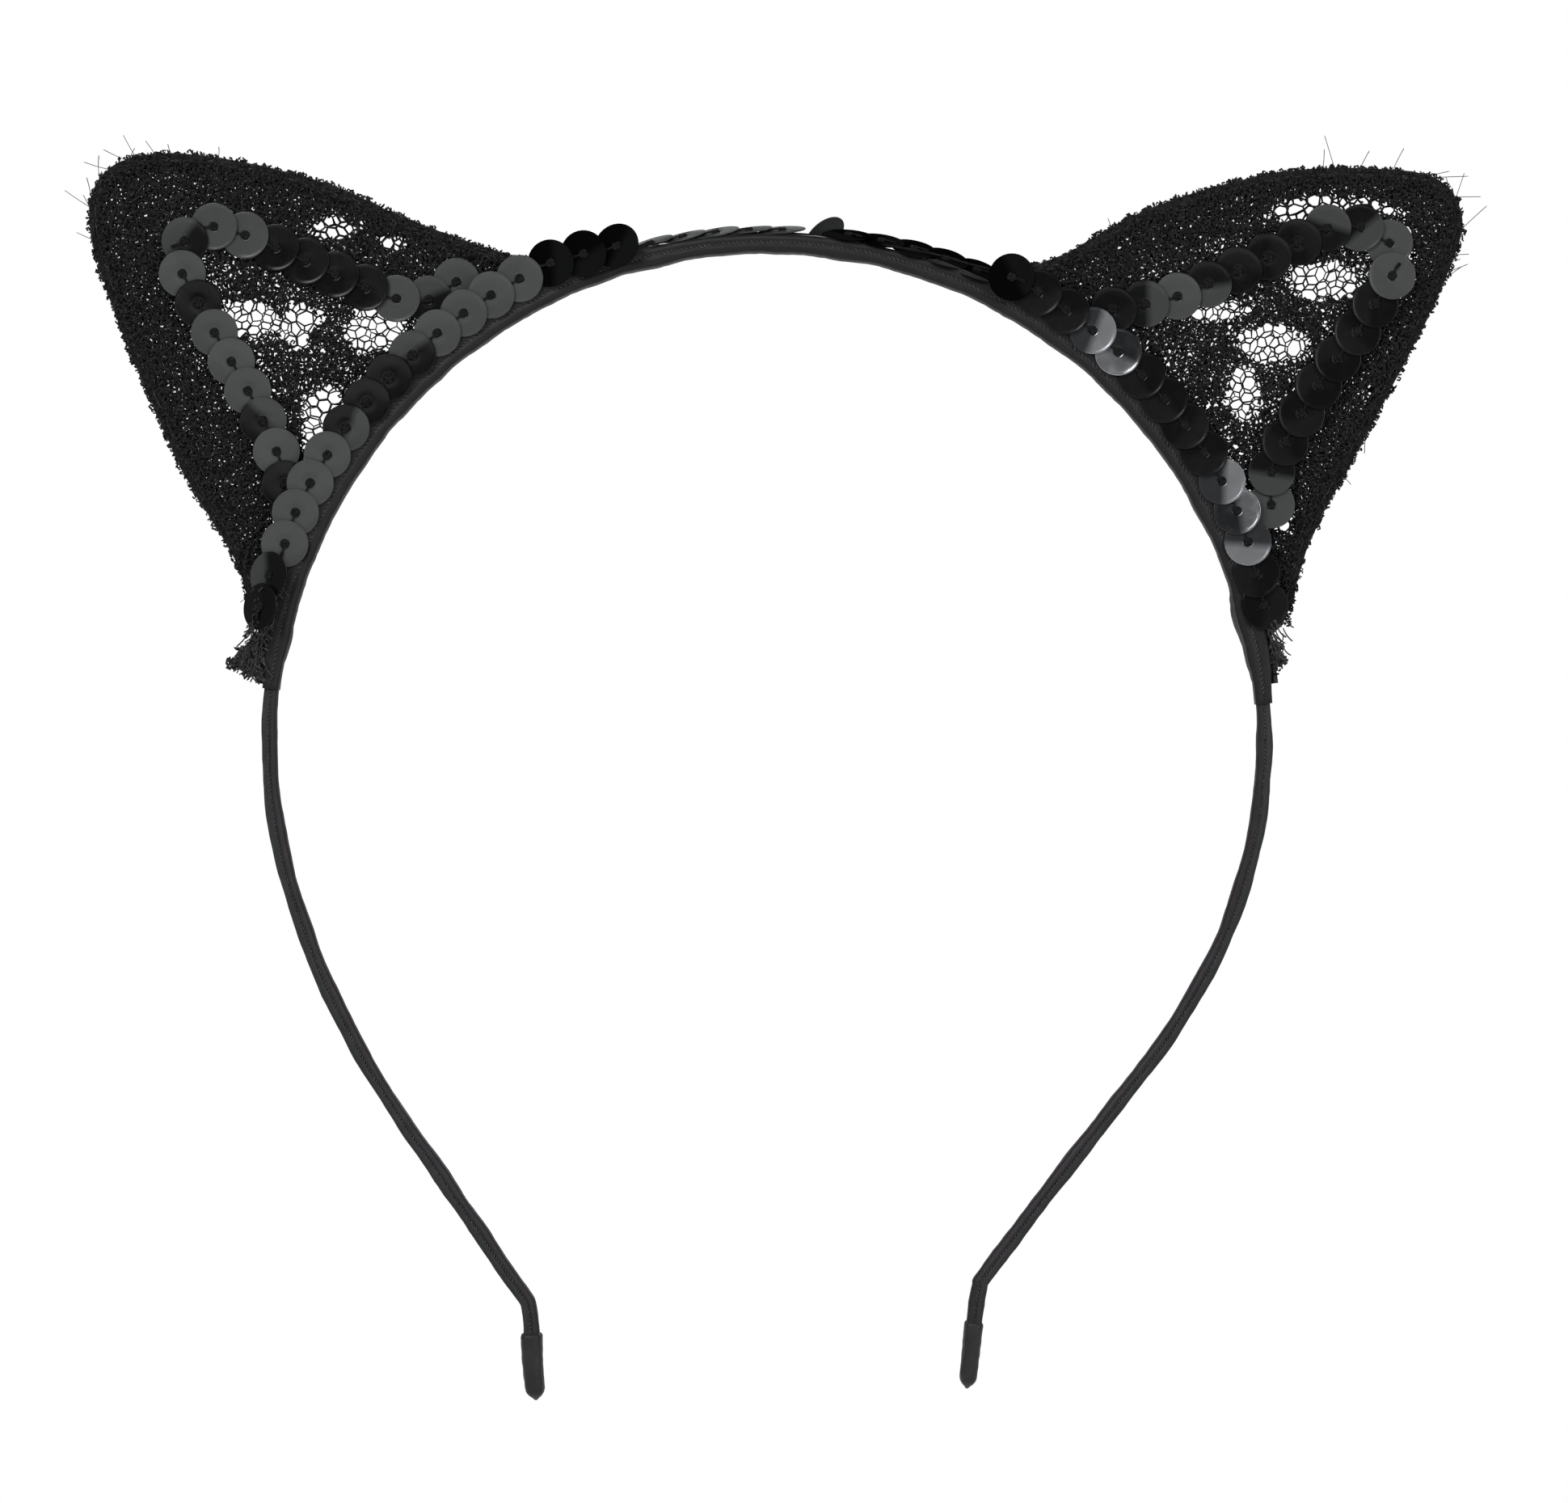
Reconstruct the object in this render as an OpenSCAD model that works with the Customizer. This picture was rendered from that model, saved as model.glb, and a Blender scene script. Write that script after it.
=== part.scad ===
// Animal ears headband.
// A sprung steel strip in satin ribbon makes an open hoop. Two lace ears on wire loops stand on its crown,
// and strings of overlapping sequins run along the crown and round both ears.
// Everything is drawn flat in a plan (x across, y up, z towards the front) and then stood up:
// the hoop ends up in the XZ plane, +Z up, the front towards -Y, the origin at the centre of the crown's arc.

/* [Band] */
// Radius of the crown's inner face, where it sits on the head
head_r = 62; // [58:0.5:70]
// Width of the ribbon-covered band, front to back
band_w = 6; // [5:0.5:10]
// Thickness of one arm, ribbon included
band_t = 1.6; // [1.4:0.1:2.4]
// Thickness of the ribbon
ribbon_t = 0.3; // [0.2:0.05:0.4]
// Thickness of the steel strip
steel_t = 0.9; // [0.5:0.1:0.9]
// Angle from +X at which the left arm starts to flex
left_split = 176.5; // [175:0.5:178]
// Angle from +X at which the right arm starts to flex
right_split = 2.5; // [2:0.5:4]

/* [Left arm] */
// Turn of the arm on the crown's own radius
left_round_deg = 20; // [15:1:35]
// Radius of the flatter stretch below it
left_flat_r = 107; // [70:1:140]
// Turn of the flatter stretch
left_flat_deg = 18; // [5:1:20]
// Length of the straight stretch
left_straight = 26.7; // [20:1:45]
// Turn of the bend above the tip
left_bend_deg = 33; // [10:1:45]
// Length of the tip below the bend
left_tip = 8.2; // [8:0.1:16]

/* [Right arm] */
// Turn of the arm on the crown's own radius
right_round_deg = 36; // [15:1:40]
// Radius of the flatter stretch below it
right_flat_r = 90; // [70:1:140]
// Turn of the flatter stretch
right_flat_deg = 4; // [2:1:20]
// Length of the straight stretch
right_straight = 34.7; // [20:1:45]
// Turn of the bend above the tip
right_bend_deg = 32; // [10:1:45]
// Length of the tip below the bend
right_tip = 9.6; // [8:0.1:16]

/* [Tips] */
// Radius of the bend above each tip
bend_r = 6; // [4:0.5:12]
// Length of the folded ribbon end that closes a tip
cap_len = 7.4; // [5:0.1:8]
// Wall of the folded ribbon end
cap_t = 0.55; // [0.4:0.05:0.8]

/* [Ears] */
// Diameter of the ear wire
wire_d = 1; // [0.8:0.1:1]
// Width of the rolled lace border
border_w = 2.6; // [2.4:0.1:3]
// Thickness of the rolled lace border
border_t = 1.5; // [1.4:0.1:1.6]
// Thickness of one layer of lace
lace_t = 0.3; // [0.2:0.05:0.4]

/* [Sequins] */
// Diameter of a sequin
sequin_d = 6; // [5:0.5:7]
// Thickness of a sequin
sequin_t = 0.16; // [0.1:0.02:0.2]
// Diameter of the hole in a sequin
hole_d = 1.1; // [0.8:0.1:1.4]
// Distance from one sequin to the next on the string
pitch = 4.15; // [3.9:0.05:4.5]
// Slant that lays one sequin over the next
slant = 5; // [4:0.5:6]
// Slant where the string twists over the top
twisted_slant = 13.5; // [13:0.5:14]
// Diameter of the sewing thread
thread_d = 0.26; // [0.2:0.02:0.28]

/* [Hidden] */
$fn = 180;

satin = [0.09, 0.09, 0.1];
lace_black = [0.12, 0.12, 0.12];
gloss_black = [0.03, 0.03, 0.04];

// Play between neighbouring layers
fit_gap = 0.05;
// Radii from the head outwards: cover ribbon, arm ribbon, steel, arm ribbon, cover ribbon.
arm_in_r = head_r + ribbon_t + fit_gap;
arm_mid_r = arm_in_r + band_t / 2;
arm_out_r = arm_in_r + band_t;
cover_in_w = band_w + 2 * fit_gap;
cover_out_w = cover_in_w + 2 * ribbon_t;
cover_top_r = arm_out_r + fit_gap + ribbon_t;
cover_left = 174;
cover_right = 4.3;
// Half of the opening left between the crown and an arm, as an angle at the band's middle
split_half = 0.07;
steel_w = band_w - 2 * ribbon_t - 0.2;
open_end = 0.5;
// Largest turn from one station to the next
arc_step = 2.5;
// The steel stops this far inside the ribbon's end
steel_short = 1;

// Ear outlines, from the foot on the crown out to the tip and down to the band.
left_outline = [[-29, 61], [-37, 63.4], [-46, 66.8], [-55, 70.8], [-66, 73.7], [-77, 74.9],
                [-84, 72.6], [-86.3, 66.5], [-84, 57], [-79.6, 45.7], [-73.8, 33], [-67.7, 22.8],
                [-65.5, 14.8]];
right_outline = [[31, 60], [37.5, 62], [46, 66.8], [55, 70.1], [65, 72.5], [76, 73],
                 [85.2, 71.6], [88.6, 66], [86.2, 58], [81.7, 48.8], [75.2, 36.5], [69.2, 25.2],
                 [66.4, 14.8]];
wire_r = wire_d / 2;
leg_r = arm_out_r + fit_gap + wire_r + thread_d + 0.05;
leg_turn = 5.5;
binding_turns = 4;
binding_step = 1.1;
lace_y = border_t / 2 + 0.1;
lace_in_r = arm_out_r + 0.15;
border_stop_r = arm_out_r + 0.15 + border_w / 2;
sweep_sides = 8;

// Rows of sequins, each a curve that the string follows.
left_upper_row = [[-73.7, 63.4], [-70, 65.2], [-62.6, 62.7], [-55.1, 59.3], [-47.4, 56.2],
                  [-43, 55.9], [-39.3, 58.2]];
left_outer_row = [[-74, 59.2], [-70.2, 52.2], [-66.1, 45.1], [-62.4, 37.6], [-61, 32.6]];
right_upper_row = [[43.9, 54.6], [51.9, 56.3], [59.3, 59.4], [67.1, 63.1], [71, 65], [75, 65.1],
                   [78.9, 63.1]];
right_outer_row = [[79.2, 58.9], [75, 52.1], [70.1, 45.4], [65.7, 37.9], [64, 34.4], [63.9, 29.9]];
row_r = arm_out_r + 2.4;
row_drop = 1;
row_front = 3.85;
upper_front = 1.9;
outer_front = 2.6;
left_row_from = 164.9;
left_row_to = 118.1;
middle_from = 114.3;
middle_to = 62.2;
right_row_from = 58.8;
right_row_to = 15.2;
// The middle row turns to lie on top of the band between these angles.
twist_starts = 112;
twist_full = 96;
twist_ends = 84;
twist_back = 68;
top_r = cover_top_r + 1.1;
// How far the middle row stands in front of its neighbours, and how much more at its right end
middle_lift_from = 0.4;
middle_lift_more = 0.5;
// Extra room where the twisting sequins pass the ribbon's front corner
corner_clearance = 1.2;
// How far the crown's thread runs behind its sequins, facing the front and lying on top
thread_behind_front = 0.65;
thread_behind_top = 0.92;
ear_thread_front = 1.36;

// Points on an arc of radius r, as seen from the front.
function polar(r, a) = [r * cos(a), r * sin(a)];
function arc(r, from, to, n) = [for (i = [0:n]) polar(r, from + (to - from) * i / n)];

// A smooth curve through hand-chosen points (Catmull-Rom), n steps between two of them.
function spline_at(a, b, c, d, t) =
    0.5 * (2 * b + (c - a) * t + (2 * a - 5 * b + 4 * c - d) * t * t + (3 * b - a - 3 * c + d) * t * t * t);
function smooth(p, n) =
    let (m = len(p) - 1)
    concat([for (i = [0:m - 1]) for (k = [0:n - 1])
            spline_at(p[max(i - 1, 0)], p[i], p[i + 1], p[min(i + 2, m)], k / n)], [p[m]]);

// Points at even distances along a path.
function run_lengths(p) =
    [for (i = 0, s = 0; i < len(p); s = s + (i + 1 < len(p) ? norm(p[i + 1] - p[i]) : 0), i = i + 1) s];
function point_at(p, lengths, s) =
    let (i = max([for (j = [0:len(p) - 2]) if (lengths[j] <= s) j]),
         t = (s - lengths[i]) / (lengths[i + 1] - lengths[i]))
    p[i] + (p[i + 1] - p[i]) * t;
function spaced(p, step) =
    let (lengths = run_lengths(p), total = lengths[len(p) - 1], n = round(total / step))
    [for (k = [0:n]) point_at(p, lengths, total * min(k / n, 0.99999))];

// Unit direction of a path at point i, and the path moved sideways by d towards its left.
function heading(p, i) =
    let (a = p[max(i - 1, 0)], b = p[min(i + 1, len(p) - 1)]) (b - a) / norm(b - a);
function moved(p, d) = [for (i = [0:len(p) - 1]) let (h = heading(p, i)) p[i] + d * [-h.y, h.x]];

// Stands the flat plan up: the plan's y becomes +Z and its z becomes -Y.
module stand() {
    rotate([90, 0, 0]) children();
}

// Stations along a list of steps, [radius, degrees] for an arc (to the left for positive degrees) or
// [0, length] for a straight, each station as [point, direction].
function ahead(a) = [cos(a), sin(a)];
function to_left(a) = [-sin(a), cos(a)];
function walk(steps, p = [0, 0], a = 90, i = 0) =
    i == len(steps) ? [[p, a]] :
    let (r = steps[i][0], turn = steps[i][1])
    r == 0 ? concat([[p, a]], walk(steps, p + turn * ahead(a), a, i + 1)) :
    let (side = r * sign(turn), centre = p + side * to_left(a), n = ceil(abs(turn) / arc_step))
    concat([for (k = [0:n - 1]) let (b = a + turn * k / n) [centre - side * to_left(b), b]],
           walk(steps, centre - side * to_left(a + turn), a + turn, i + 1));

// A bar of thickness t and width w along the steps, begun early by back.
module bar(steps, t, w, back = 0) {
    line = walk(concat([[0, back]], steps), [0, -back]);
    last = len(line) - 1;
    linear_extrude(w, center = true)
        polygon([for (k = [back == 0 ? 1 : 0:last]) line[k][0] + t / 2 * to_left(line[k][1]),
                 for (k = [last:-1:back == 0 ? 1 : 0]) line[k][0] - t / 2 * to_left(line[k][1])]);
}

// Steps of each arm, its tip longer or shorter by extra.
function left_steps(extra = 0) =
    [[arm_mid_r, left_round_deg], [left_flat_r, left_flat_deg], [0, left_straight],
     [bend_r, -left_bend_deg], [0, left_tip + extra]];
function right_steps(extra = 0) =
    [[arm_mid_r, right_round_deg], [right_flat_r, right_flat_deg], [0, right_straight],
     [bend_r, -right_bend_deg], [0, right_tip + extra]];

// Puts an arm's first point at the split; the right arm is drawn as a left one and mirrored.
module at_left_split() {
    rotate(left_split + split_half) translate([arm_mid_r, 0, 0]) children();
}
module at_right_split() {
    mirror([1, 0, 0]) rotate(180 - right_split + split_half) translate([arm_mid_r, 0, 0]) children();
}

module arm_sleeve(steps, steps_cut) {
    difference() {
        bar(steps, band_t, band_w);
        bar(steps_cut, band_t - 2 * ribbon_t, band_w - 2 * ribbon_t, open_end);
    }
}

// Moves to the end of a list of steps, heading along +Y.
module at_end(steps) {
    line = walk(steps);
    end = line[len(line) - 1];
    translate(end[0]) rotate(end[1] - 90) children();
}

// The ribbon end folded over a tip: a flat pocket with a rounded end.
module tip_cap() {
    in_t = band_t + 2 * fit_gap;
    in_w = band_w + 2 * fit_gap;
    out_t = in_t + 2 * cap_t;
    out_w = in_w + 2 * cap_t;
    difference() {
        union() {
            translate([-out_t / 2, -cap_len + cap_t, -out_w / 2]) cube([out_t, cap_len, out_w]);
            translate([0, cap_t, -out_w / 2]) cylinder(h = out_w, d = out_t);
        }
        translate([-in_t / 2, -cap_len, -in_w / 2]) cube([in_t, cap_len + fit_gap, in_w]);
    }
}

// A ring section turned round the crown from angle a to angle b.
module crown_ring(r_in, r_out, w_low, w_high, a, b) {
    rotate(a) rotate_extrude(angle = b - a)
        translate([r_in, w_low]) square([r_out - r_in, w_high - w_low]);
}

// Sweeps an oval tube along a plan path; wall = [half width, half thickness], hole is the inner radius.
module swept(path, wall, hole = 0) {
    n = len(path);
    s = sweep_sides;
    function ring(i, a, b) =
        let (h = heading(path, i))
        [for (k = [0:s - 1]) let (t = 360 * k / s)
            [path[i].x - h.y * a * cos(t), path[i].y + h.x * a * cos(t), b * sin(t)]];
    function wall_faces(start, flip) =
        [for (i = [0:n - 2]) for (k = [0:s - 1])
            let (a = start + i * s + k, b = start + i * s + (k + 1) % s)
            each (flip ? [[a, b + s, b], [a, a + s, b + s]] : [[a, b, b + s], [a, b + s, a + s]])];
    outer = [for (i = [0:n - 1]) each ring(i, wall[0], wall[1])];
    if (hole == 0) {
        polyhedron(outer, concat(wall_faces(0, false),
            [[for (k = [s - 1:-1:0]) k]], [[for (k = [0:s - 1]) (n - 1) * s + k]]));
    } else {
        inner = [for (i = [0:n - 1]) each ring(i, hole, hole)];
        m = n * s;
        last = (n - 1) * s;
        ends = [for (k = [0:s - 1]) let (j = (k + 1) % s) each
            [[k, m + k, m + j], [k, m + j, j],
             [last + k, last + j, m + last + j], [last + k, m + last + j, m + last + k]]];
        polyhedron(concat(outer, inner), concat(wall_faces(0, false), wall_faces(m, true), ends));
    }
}

// Middle line of an ear's border; inward is +1 where the ear lies to the left of its outline.
function ear_line(outline, inward) = moved(smooth(outline, 5), inward * border_w / 2);
function off_band(path) = [for (p = path) if (norm(p) > border_stop_r) p];

module ear_wire(outline, inward, upper_leg, lower_leg) {
    line = off_band(ear_line(outline, inward));
    path = concat(arc(leg_r, upper_leg + inward * -leg_turn, upper_leg, 5), line,
                  arc(leg_r, lower_leg, lower_leg + inward * leg_turn, 5));
    swept(path, [wire_r, wire_r]);
}

module ear_border(outline, inward) {
    line = off_band(ear_line(outline, inward));
    swept([for (i = [1:len(line) - 2]) line[i]], [border_w / 2, border_t / 2], wire_r + 0.06);
}

// One flat layer of lace between the border's middle line and the band.
module ear_lace(outline, inward, low) {
    line = ear_line(outline, inward);
    first = atan2(line[0].y, line[0].x);
    last = atan2(line[len(line) - 1].y, line[len(line) - 1].x);
    translate([0, 0, low]) linear_extrude(lace_t)
        polygon(concat(line, arc(lace_in_r, last, first, 24)));
}

module sequin() {
    difference() {
        cylinder(h = sequin_t, d = sequin_d, center = true);
        cylinder(h = 4 * sequin_t, d = hole_d, center = true);
    }
}

// A string of sequins along a curve. lean +1 lays each sequin over the one before it, -1 under it.
module sequin_row(curve, front, lean) {
    row = spaced(smooth(curve, 8), pitch);
    for (i = [0:len(row) - 1]) {
        h = heading(row, i);
        translate([row[i].x, row[i].y, front]) rotate(atan2(h.y, h.x)) rotate([0, lean * slant, 0]) sequin();
    }
}

function row_count(from, to) = round(abs(to - from) * PI / 180 * row_r / pitch);

// A row on the crown facing the front, laid clockwise; both lower ends draw in towards the band.
function crown_row_r(a) = row_r - row_drop * eased((abs(a - 90) - 62) / 12);
module crown_row(from, to) {
    n = row_count(from, to);
    for (i = [0:n]) {
        a = from + (to - from) * i / n;
        translate(concat(polar(crown_row_r(a), a), row_front)) rotate(a - 90) rotate([0, -slant, 0]) sequin();
    }
}

// How far the middle row has turned at angle a: 0 faces the front, 1 faces up.
function eased(t) = let (u = min(max(t, 0), 1)) u * u * (3 - 2 * u);
function twist(a) = eased((twist_starts - a) / (twist_starts - twist_full))
                  * eased((a - twist_back) / (twist_ends - twist_back));
function sunk(a) = eased((middle_from - a) / 7) * eased((a - middle_to) / 7);
function twisted_r(a) = crown_row_r(a) + (top_r - crown_row_r(a)) * sunk(a);
function middle_lift(a) =
    middle_lift_from + middle_lift_more * min(max((middle_from - a) / (middle_from - middle_to), 0), 1);
function twisted_front(a) =
    let (t = 90 * twist(a)) (row_front + middle_lift(a)) * cos(t) + corner_clearance * sin(t) * cos(t);

// The middle row laps away from its own middle sequin on both sides.
module middle_row() {
    half = floor(row_count(middle_from, middle_to) / 2);
    for (i = [-half:half]) {
        a = (middle_from + middle_to) / 2 + (middle_to - middle_from) * i / half / 2;
        translate(concat(polar(twisted_r(a), a), twisted_front(a)))
            rotate(a - 90) rotate([-90 * twist(a), 0, 0]) rotate([0, sign(i) * twisted_slant, 0]) sequin();
    }
}

// A thread that runs in space; points are [x, y, z] in the plan.
module thread(points) {
    s = 6;
    n = len(points);
    rings = [for (i = [0:n - 1])
        let (d = points[min(i + 1, n - 1)] - points[max(i - 1, 0)],
             h = d / norm(d), u = cross([0, 0, 1], h) / norm(cross([0, 0, 1], h)), v = cross(h, u))
        each [for (k = [0:s - 1]) points[i] + thread_d / 2 * (cos(360 * k / s) * u + sin(360 * k / s) * v)]];
    sides = [for (i = [0:n - 2]) for (k = [0:s - 1])
        let (a = i * s + k, b = i * s + (k + 1) % s) each [[a, b + s, b], [a, a + s, b + s]]];
    polyhedron(rings, concat(sides, [[for (k = [0:s - 1]) k]], [[for (k = [s - 1:-1:0]) (n - 1) * s + k]]));
}

module ear_thread(upper, outer) {
    line = concat(upper, outer);
    thread([for (p = spaced(smooth(line, 6), pitch / 2)) [p.x, p.y, ear_thread_front]]);
}

// Turns of thread that bind one leg of an ear wire to the band, from angle a on.
module binding(a) {
    for (i = [0:binding_turns - 1])
        rotate(a + i * binding_step) translate([leg_r, 0, 0]) rotate([90, 0, 0])
            rotate_extrude() translate([wire_r + thread_d / 2 + 0.02, 0]) circle(d = thread_d);
}

// A frayed tongue of lace that hangs over the band below an ear.
module lace_tail(a, tail_len, reach) {
    rotate(a) translate([arm_out_r + 0.8, 0, lace_y + lace_t + 0.1])
        linear_extrude(lace_t) polygon([[0, -tail_len / 2], [reach * 0.7, 0], [reach, tail_len * 0.4],
                                        [reach * 0.4, tail_len / 2], [0, tail_len / 2]]);
}

module steel_strip_crown() {
    color([0.7, 0.71, 0.73]) stand()
        crown_ring(arm_mid_r - steel_t / 2, arm_mid_r + steel_t / 2, -steel_w / 2, steel_w / 2,
                   right_split + split_half, left_split - split_half);
}
module steel_strip_left_arm() {
    color([0.7, 0.71, 0.73]) stand() at_left_split() bar(left_steps(-steel_short), steel_t, steel_w);
}
module steel_strip_right_arm() {
    color([0.7, 0.71, 0.73]) stand() at_right_split() bar(right_steps(-steel_short), steel_t, steel_w);
}
module ribbon_crown() {
    color(satin) stand() difference() {
        crown_ring(arm_in_r, arm_out_r, -band_w / 2, band_w / 2,
                   right_split + split_half, left_split - split_half);
        crown_ring(arm_in_r + ribbon_t, arm_out_r - ribbon_t, -band_w / 2 + ribbon_t,
                   band_w / 2 - ribbon_t, right_split - 1, left_split + 1);
    }
}
module ribbon_left_arm() {
    color(satin) stand() at_left_split() arm_sleeve(left_steps(), left_steps(open_end));
}
module ribbon_right_arm() {
    color(satin) stand() at_right_split() arm_sleeve(right_steps(), right_steps(open_end));
}
module crown_cover_ribbon() {
    color(satin) stand() rotate(cover_right) rotate_extrude(angle = cover_left - cover_right)
        polygon([[head_r, -cover_out_w / 2], [cover_top_r, -cover_out_w / 2],
                 [cover_top_r, -cover_in_w / 2], [head_r + ribbon_t, -cover_in_w / 2],
                 [head_r + ribbon_t, cover_in_w / 2], [cover_top_r, cover_in_w / 2],
                 [cover_top_r, cover_out_w / 2], [head_r, cover_out_w / 2]]);
}
module left_tip_cap() {
    color(satin) stand() at_left_split() at_end(left_steps()) tip_cap();
}
module right_tip_cap() {
    color(satin) stand() at_right_split() at_end(right_steps()) tip_cap();
}
module left_ear_wire() {
    color([0.2, 0.2, 0.2]) stand() ear_wire(left_outline, 1, 112, 168);
}
module right_ear_wire() {
    color([0.2, 0.2, 0.2]) stand() ear_wire(right_outline, -1, 64, 12);
}
module left_ear_border() {
    color(lace_black) stand() ear_border(left_outline, 1);
}
module right_ear_border() {
    color(lace_black) stand() ear_border(right_outline, -1);
}
module left_ear_lace_front() {
    color(lace_black) stand() ear_lace(left_outline, 1, lace_y);
}
module left_ear_lace_back() {
    color(lace_black) stand() ear_lace(left_outline, 1, -lace_y - lace_t);
}
module right_ear_lace_front() {
    color(lace_black) stand() ear_lace(right_outline, -1, lace_y);
}
module right_ear_lace_back() {
    color(lace_black) stand() ear_lace(right_outline, -1, -lace_y - lace_t);
}
module left_ear_upper_sequins() {
    color(gloss_black) stand() sequin_row(left_upper_row, upper_front, -1);
}
module left_ear_outer_sequins() {
    color(gloss_black) stand() sequin_row(left_outer_row, outer_front, 1);
}
module right_ear_upper_sequins() {
    color(gloss_black) stand() sequin_row(right_upper_row, upper_front, -1);
}
module right_ear_outer_sequins() {
    color(gloss_black) stand() sequin_row(right_outer_row, outer_front, -1);
}
module crown_sequins_left() {
    color(gloss_black) stand() crown_row(left_row_from, left_row_to);
}
module crown_sequins_middle() {
    color(gloss_black) stand() middle_row();
}
module crown_sequins_right() {
    color(gloss_black) stand() crown_row(right_row_from, right_row_to);
}
module left_ear_thread() {
    color(lace_black) stand()
        ear_thread([for (i = [len(left_upper_row) - 1:-1:0]) left_upper_row[i]], left_outer_row);
}
module right_ear_thread() {
    color(lace_black) stand() ear_thread(right_upper_row, right_outer_row);
}
module crown_thread() {
    steps = 90;
    color(lace_black) stand() thread([for (i = [0:steps])
        let (a = left_row_from + (right_row_to - left_row_from) * i / steps, turn = 90 * twist(a),
             at_front = thread_behind_front + middle_lift(a),
             behind = at_front + (thread_behind_top - at_front) * twist(a))
        concat(polar(twisted_r(a) - behind * sin(turn), a), twisted_front(a) - behind * cos(turn))]);
}
module left_ear_binding() {
    color(lace_black) stand() {
        binding(107.2);
        binding(169);
    }
}
module right_ear_binding() {
    color(lace_black) stand() {
        binding(65.5);
        binding(7.5);
    }
}
module left_lace_tail() {
    color(lace_black) stand() lace_tail(170, 5.5, 4);
}
module right_lace_tail() {
    color(lace_black) stand() mirror([1, 0, 0]) lace_tail(169.5, 5, 1.6);
}

steel_strip_crown();
steel_strip_left_arm();
steel_strip_right_arm();
ribbon_crown();
ribbon_left_arm();
ribbon_right_arm();
crown_cover_ribbon();
left_tip_cap();
right_tip_cap();
left_ear_wire();
right_ear_wire();
left_ear_border();
right_ear_border();
left_ear_lace_front();
left_ear_lace_back();
right_ear_lace_front();
right_ear_lace_back();
left_ear_upper_sequins();
left_ear_outer_sequins();
right_ear_upper_sequins();
right_ear_outer_sequins();
crown_sequins_left();
crown_sequins_middle();
crown_sequins_right();
left_ear_thread();
right_ear_thread();
crown_thread();
left_ear_binding();
right_ear_binding();
left_lace_tail();
right_lace_tail();
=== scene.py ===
# %% [markdown]
# # A headband with animal ears
# The real thing is a springy steel strip wrapped in black satin ribbon. Two ears of black lace stand on
# it, each stretched on a bent wire, and strings of flat sequins are sewn on top. This file dresses the
# measured model of that headband: every soft or sparkling part is made here, around solids whose sizes
# are already fixed.

import math
import random

import bmesh
import bpy
import numpy as np
from mathutils import Matrix, Vector, geometry, noise


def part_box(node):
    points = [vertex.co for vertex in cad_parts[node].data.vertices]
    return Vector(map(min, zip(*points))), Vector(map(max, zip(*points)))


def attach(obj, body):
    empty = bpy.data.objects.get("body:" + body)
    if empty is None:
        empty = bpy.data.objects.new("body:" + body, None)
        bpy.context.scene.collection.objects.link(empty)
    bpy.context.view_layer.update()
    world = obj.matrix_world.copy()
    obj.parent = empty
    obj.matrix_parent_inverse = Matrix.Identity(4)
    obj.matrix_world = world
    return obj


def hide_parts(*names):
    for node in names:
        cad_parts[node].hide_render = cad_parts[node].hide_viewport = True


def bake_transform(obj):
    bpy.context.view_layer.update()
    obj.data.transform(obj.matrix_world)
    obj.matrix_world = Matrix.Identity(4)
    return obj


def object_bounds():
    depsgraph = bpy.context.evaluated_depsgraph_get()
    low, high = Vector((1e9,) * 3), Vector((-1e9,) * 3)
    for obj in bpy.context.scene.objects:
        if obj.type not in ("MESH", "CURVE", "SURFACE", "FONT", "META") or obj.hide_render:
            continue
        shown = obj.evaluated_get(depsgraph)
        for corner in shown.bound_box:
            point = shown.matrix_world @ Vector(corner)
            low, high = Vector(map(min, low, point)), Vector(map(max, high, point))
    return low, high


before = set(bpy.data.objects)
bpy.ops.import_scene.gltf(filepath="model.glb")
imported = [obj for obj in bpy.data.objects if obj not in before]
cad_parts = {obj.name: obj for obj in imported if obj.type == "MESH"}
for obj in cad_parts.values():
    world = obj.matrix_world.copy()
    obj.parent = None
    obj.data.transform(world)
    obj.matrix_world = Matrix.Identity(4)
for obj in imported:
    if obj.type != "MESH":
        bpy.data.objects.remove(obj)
cad_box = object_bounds()
MM = 0.001

# %% [markdown]
# ## Lengths and places
# Outlines, middle lines and the places of the discs are read off the measured solids. A flat solid, such
# as a lace panel or a ribbon sleeve, is cut along a drawn outline, so walking round the edge of its front
# face gives that outline back. Open patches in the lace, puffs in the ribbon and the way single discs lean
# are set as named numbers. Angles on the crown are counted as on a protractor seen from the front:
# 0 at the right, 90 at the top, 180 at the left.

# %% Read outlines off the solids
def merged_copy(node):
    """The node's mesh with its loose triangles joined."""
    bm = bmesh.new()
    bm.from_mesh(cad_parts[node].data)
    bmesh.ops.remove_doubles(bm, verts=bm.verts, dist=1e-7)
    return bm


def flat_outline(node):
    """Points (x, z) in order round the node's frontmost flat face, counterclockwise, in metres."""
    bm = merged_copy(node)
    front = min(v.co.y for v in bm.verts)
    face_is_front = {f.index: all(v.co.y < front + 1e-6 for v in f.verts) for f in bm.faces}
    beside = {}
    for edge in bm.edges:
        if sum(face_is_front[f.index] for f in edge.link_faces) == 1:
            a, b = edge.verts
            beside.setdefault(a, []).append(b)
            beside.setdefault(b, []).append(a)
    start = next(iter(beside))
    loop, before, here = [start], None, start
    while True:
        onward = [v for v in beside[here] if v is not before][0]
        if onward is start:
            break
        loop.append(onward)
        before, here = here, onward
    points = [Vector((v.co.x, v.co.z)) for v in loop]
    bm.free()
    turn = sum(a.x * b.y - b.x * a.y for a, b in zip(points, points[1:] + points[:1]))
    return points if turn > 0 else points[::-1]


def angle_of(x, z):
    return math.degrees(math.atan2(z, x))


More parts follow.
